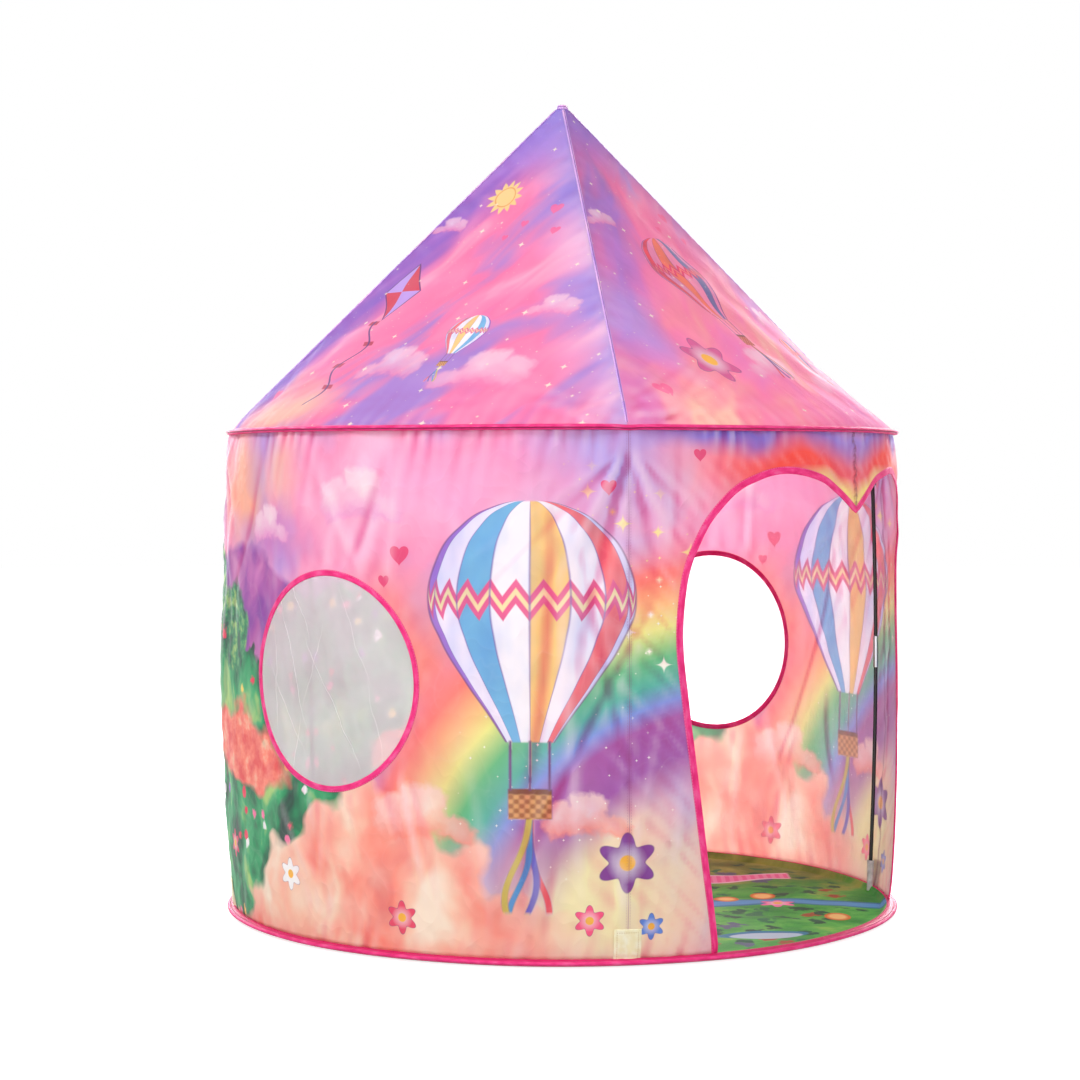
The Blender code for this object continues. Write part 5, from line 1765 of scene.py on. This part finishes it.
def photo_camera():
    camera = bpy.data.cameras.new("camera")
    camera.lens = CAMERA_LENS
    camera.sensor_width = 36.0
    holder = bpy.data.objects.new("camera", camera)
    bpy.context.scene.collection.objects.link(holder)
    away = out_along(np.array(CAMERA_AZIMUTH)) * CAMERA_DISTANCE
    holder.location = (away[0], away[1], CAMERA_HEIGHT)
    tilt, turn = math.radians(90.0 + CAMERA_PITCH), math.radians(CAMERA_AZIMUTH + CAMERA_YAW)
    holder.rotation_euler = (tilt, 0.0, turn)
    bpy.context.scene.camera = holder


def seen_directly(tree):
    """1 for rays from the camera, and for those that a mirror or glass sends on."""
    path = tree.nodes.new("ShaderNodeLightPath")
    kinds = ("Is Camera Ray", "Is Glossy Ray", "Is Transmission Ray")
    return largest([Wire(tree, path.outputs[kind]) for kind in kinds])


def soft_world(strength):
    world = bpy.data.worlds.new("studio")
    bpy.context.scene.world = world
    world.use_nodes = True
    tree = world.node_tree
    lit = tree.nodes["Background"]
    lit.inputs["Color"].default_value = (1.0, 1.0, 1.0, 1.0)
    lit.inputs["Strength"].default_value = strength
    white = tree.nodes.new("ShaderNodeBackground")
    white.inputs["Color"].default_value = (1.0, 1.0, 1.0, 1.0)
    mixed = tree.nodes.new("ShaderNodeMixShader")
    plug(seen_directly(tree), mixed.inputs[0])
    tree.links.new(lit.outputs[0], mixed.inputs[1])
    tree.links.new(white.outputs[0], mixed.inputs[2])
    tree.links.new(mixed.outputs[0], tree.nodes["World Output"].inputs["Surface"])


def pale_floor():
    """The studio's floor, just under the tent, so pale that it ends nowhere in the picture."""
    bpy.ops.mesh.primitive_circle_add(
        vertices=96, radius=STAGE_RADIUS, fill_type="NGON", location=(0, 0, -STAGE_DROP)
    )
    piece = bpy.context.object
    piece.name = "stage_floor"
    made = bpy.data.materials.new("stage_white")
    made.use_nodes = True
    tree = made.node_tree
    shader = tree.nodes["Principled BSDF"]
    shader.inputs["Base Color"].default_value = (0.55, 0.55, 0.55, 1.0)
    shader.inputs["Roughness"].default_value = 0.9
    shader.inputs["Specular IOR Level"].default_value = 0.0
    shader.inputs["Emission Color"].default_value = (1.0, 1.0, 1.0, 1.0)
    plug(seen_directly(tree) * 0.80, shader.inputs["Emission Strength"])
    piece.data.materials.append(made)


def soft_lamp(name, azimuth, elevation, distance, size, watts):
    lamp = bpy.data.lights.new(name, "AREA")
    lamp.shape = "DISK"
    lamp.size = size
    lamp.energy = watts
    holder = bpy.data.objects.new(name, lamp)
    bpy.context.scene.collection.objects.link(holder)
    away = out_along(np.array(azimuth)) * math.cos(math.radians(elevation))
    away[2] = math.sin(math.radians(elevation))
    place = Vector(away) * distance + TENT_MIDDLE
    holder.location = place
    holder.rotation_euler = (TENT_MIDDLE - place).to_track_quat("-Z", "Y").to_euler()


# The scene

bpy.context.scene.view_settings.view_transform = "Standard"
photo_camera()
soft_world(WORLD_STRENGTH)
pale_floor()
for name, setting in LAMPS.items():
    soft_lamp(name, *setting)

balloon = balloon_motif()
cloud = cloud_motif()
flower = flower_motif()
grain = cloth_grain()
wall_art = wall_print(balloon, cloud, flower)
roof_art = roof_print(balloon, cloud, flower)
floor_art = floor_print(flower)

wall_outside = printed_cloth("wall_print", wall_art, grain, 0.05, 3.0, WALL_SEAMS, 0.36, gloss=0.7)
wall_inside = printed_cloth("wall_print_inside", wall_art, grain, 0.50, 2.4, WALL_SEAMS, 0.38, gloss=0.5)
roof_outside = printed_cloth("roof_print", roof_art, grain, 0.08, 1.5, [], 0.34, gloss=0.3)
roof_inside = printed_cloth("roof_print_inside", roof_art, grain, 0.42, 1.5, [], 0.34)
mat_finish = printed_cloth("floor_print", floor_art, grain, 0.0, 0.8, [], 0.05, gloss=0.4)
# Each tape groove: where round the section, half width, and the darker pink of its painted shade
eave_pink = tape_finish("eave_tape", [(0.0195, 0.0011, "#8E0A4A")])
base_pink = tape_finish("base_tape", [(0.0117, 0.0008, "#A01050"), (0.0065, 0.0045, "#E2186A")])
trim_pink = tape_finish("trim_tape", [])
net = net_finish()
cream = plain_cloth("patch_cloth", "#F3E9BE", "#FBF6DA", 0.7, PATCH_BOX)
pale_tape = plain_cloth("pale_tape", "#C9C6C8", "#E6E4E6", 0.7)
navy_tape = plain_cloth("navy_tape", "#1B2150", "#343C86", 0.6)
ridge_lilac = ridge_finish()
rod_black = rod_finish()
ferrule_steel = steel_finish("ferrule_steel", "#A9A9AE", "#DADADF", 0.18, 0.42)
spring_steel = steel_finish("spring_steel", "#77787C", "#A2A3A8", 0.25, 0.5)
hub_plastic = hub_finish()

trims = {side_name: [window_tape(side_name, side, trim_pink)] for side_name, side in SIDES.items()}
trims["right"] += [
    door_tape(trim_pink),
    wall_seam("door_seam", 0.0, DOOR_DIP + 0.002, SEAM_TOP, wall_outside),
    wall_seam("back_seam", 180.0, SEAM_FOOT, SEAM_TOP, wall_outside),
]
for corner, azimuth in CORNERS.items():
    patch = foot_patch(corner, azimuth, cream)
for side_name, side in SIDES.items():
    cloth = wall_cloth(side_name, side, wall_outside, wall_inside)
    mesh = window_net(side_name, side, net)
hoop_tape(
    "base_tape", "base_binding", "base", 0.0, BASE_TAPE_SECTION, base_tape_rise, base_pink,
)
hoop_tape(
    "eave_tape", "eave_binding", "eave", EAVE_MIDDLE, EAVE_TAPE_SECTION, eave_tape_rise, eave_pink,
)
for number, (panel, middle) in enumerate(PANELS.items()):
    cloth, band = roof_cloth(panel, middle, number, roof_outside, roof_inside)
floor_mat(mat_finish)
apex_cap(ridge_lilac)
for corner, azimuth in CORNERS.items():
    flatten_with_roof(ridge_seam("ridge_seam_" + corner, azimuth, FOLD_UP, RIDGE_SEAM_HEAD, ridge_lilac))
    ridge_seam("ridge_seam_foot_" + corner, azimuth, RIDGE_SEAM_FOOT, FOLD_UP, ridge_lilac)
    pocket(
        "foot_sleeve_" + corner, "foot_pocket_" + corner, "lower_pole_" + corner,
        azimuth, FOOT_POCKET_END, FOOT_POCKET_MOUTH, pale_tape, pale_tape,
    )
    pocket(
        "top_sleeve_" + corner, "top_pocket_" + corner, "upper_pole_" + corner,
        azimuth, TOP_POCKET_END, TOP_POCKET_MOUTH, navy_tape, pale_tape,
    )

# The finish of each rigid node, by a part of its name
rigid_finishes = {
    "_rod_": rod_black, "ferrule": ferrule_steel, "elbow": ferrule_steel, "hoop": spring_steel,
    "apex_hub": hub_plastic,
}
for name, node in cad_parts.items():
    for part_of_name, finish in rigid_finishes.items():
        if part_of_name in name:
            for place in node.material_slots:
                place.material = finish
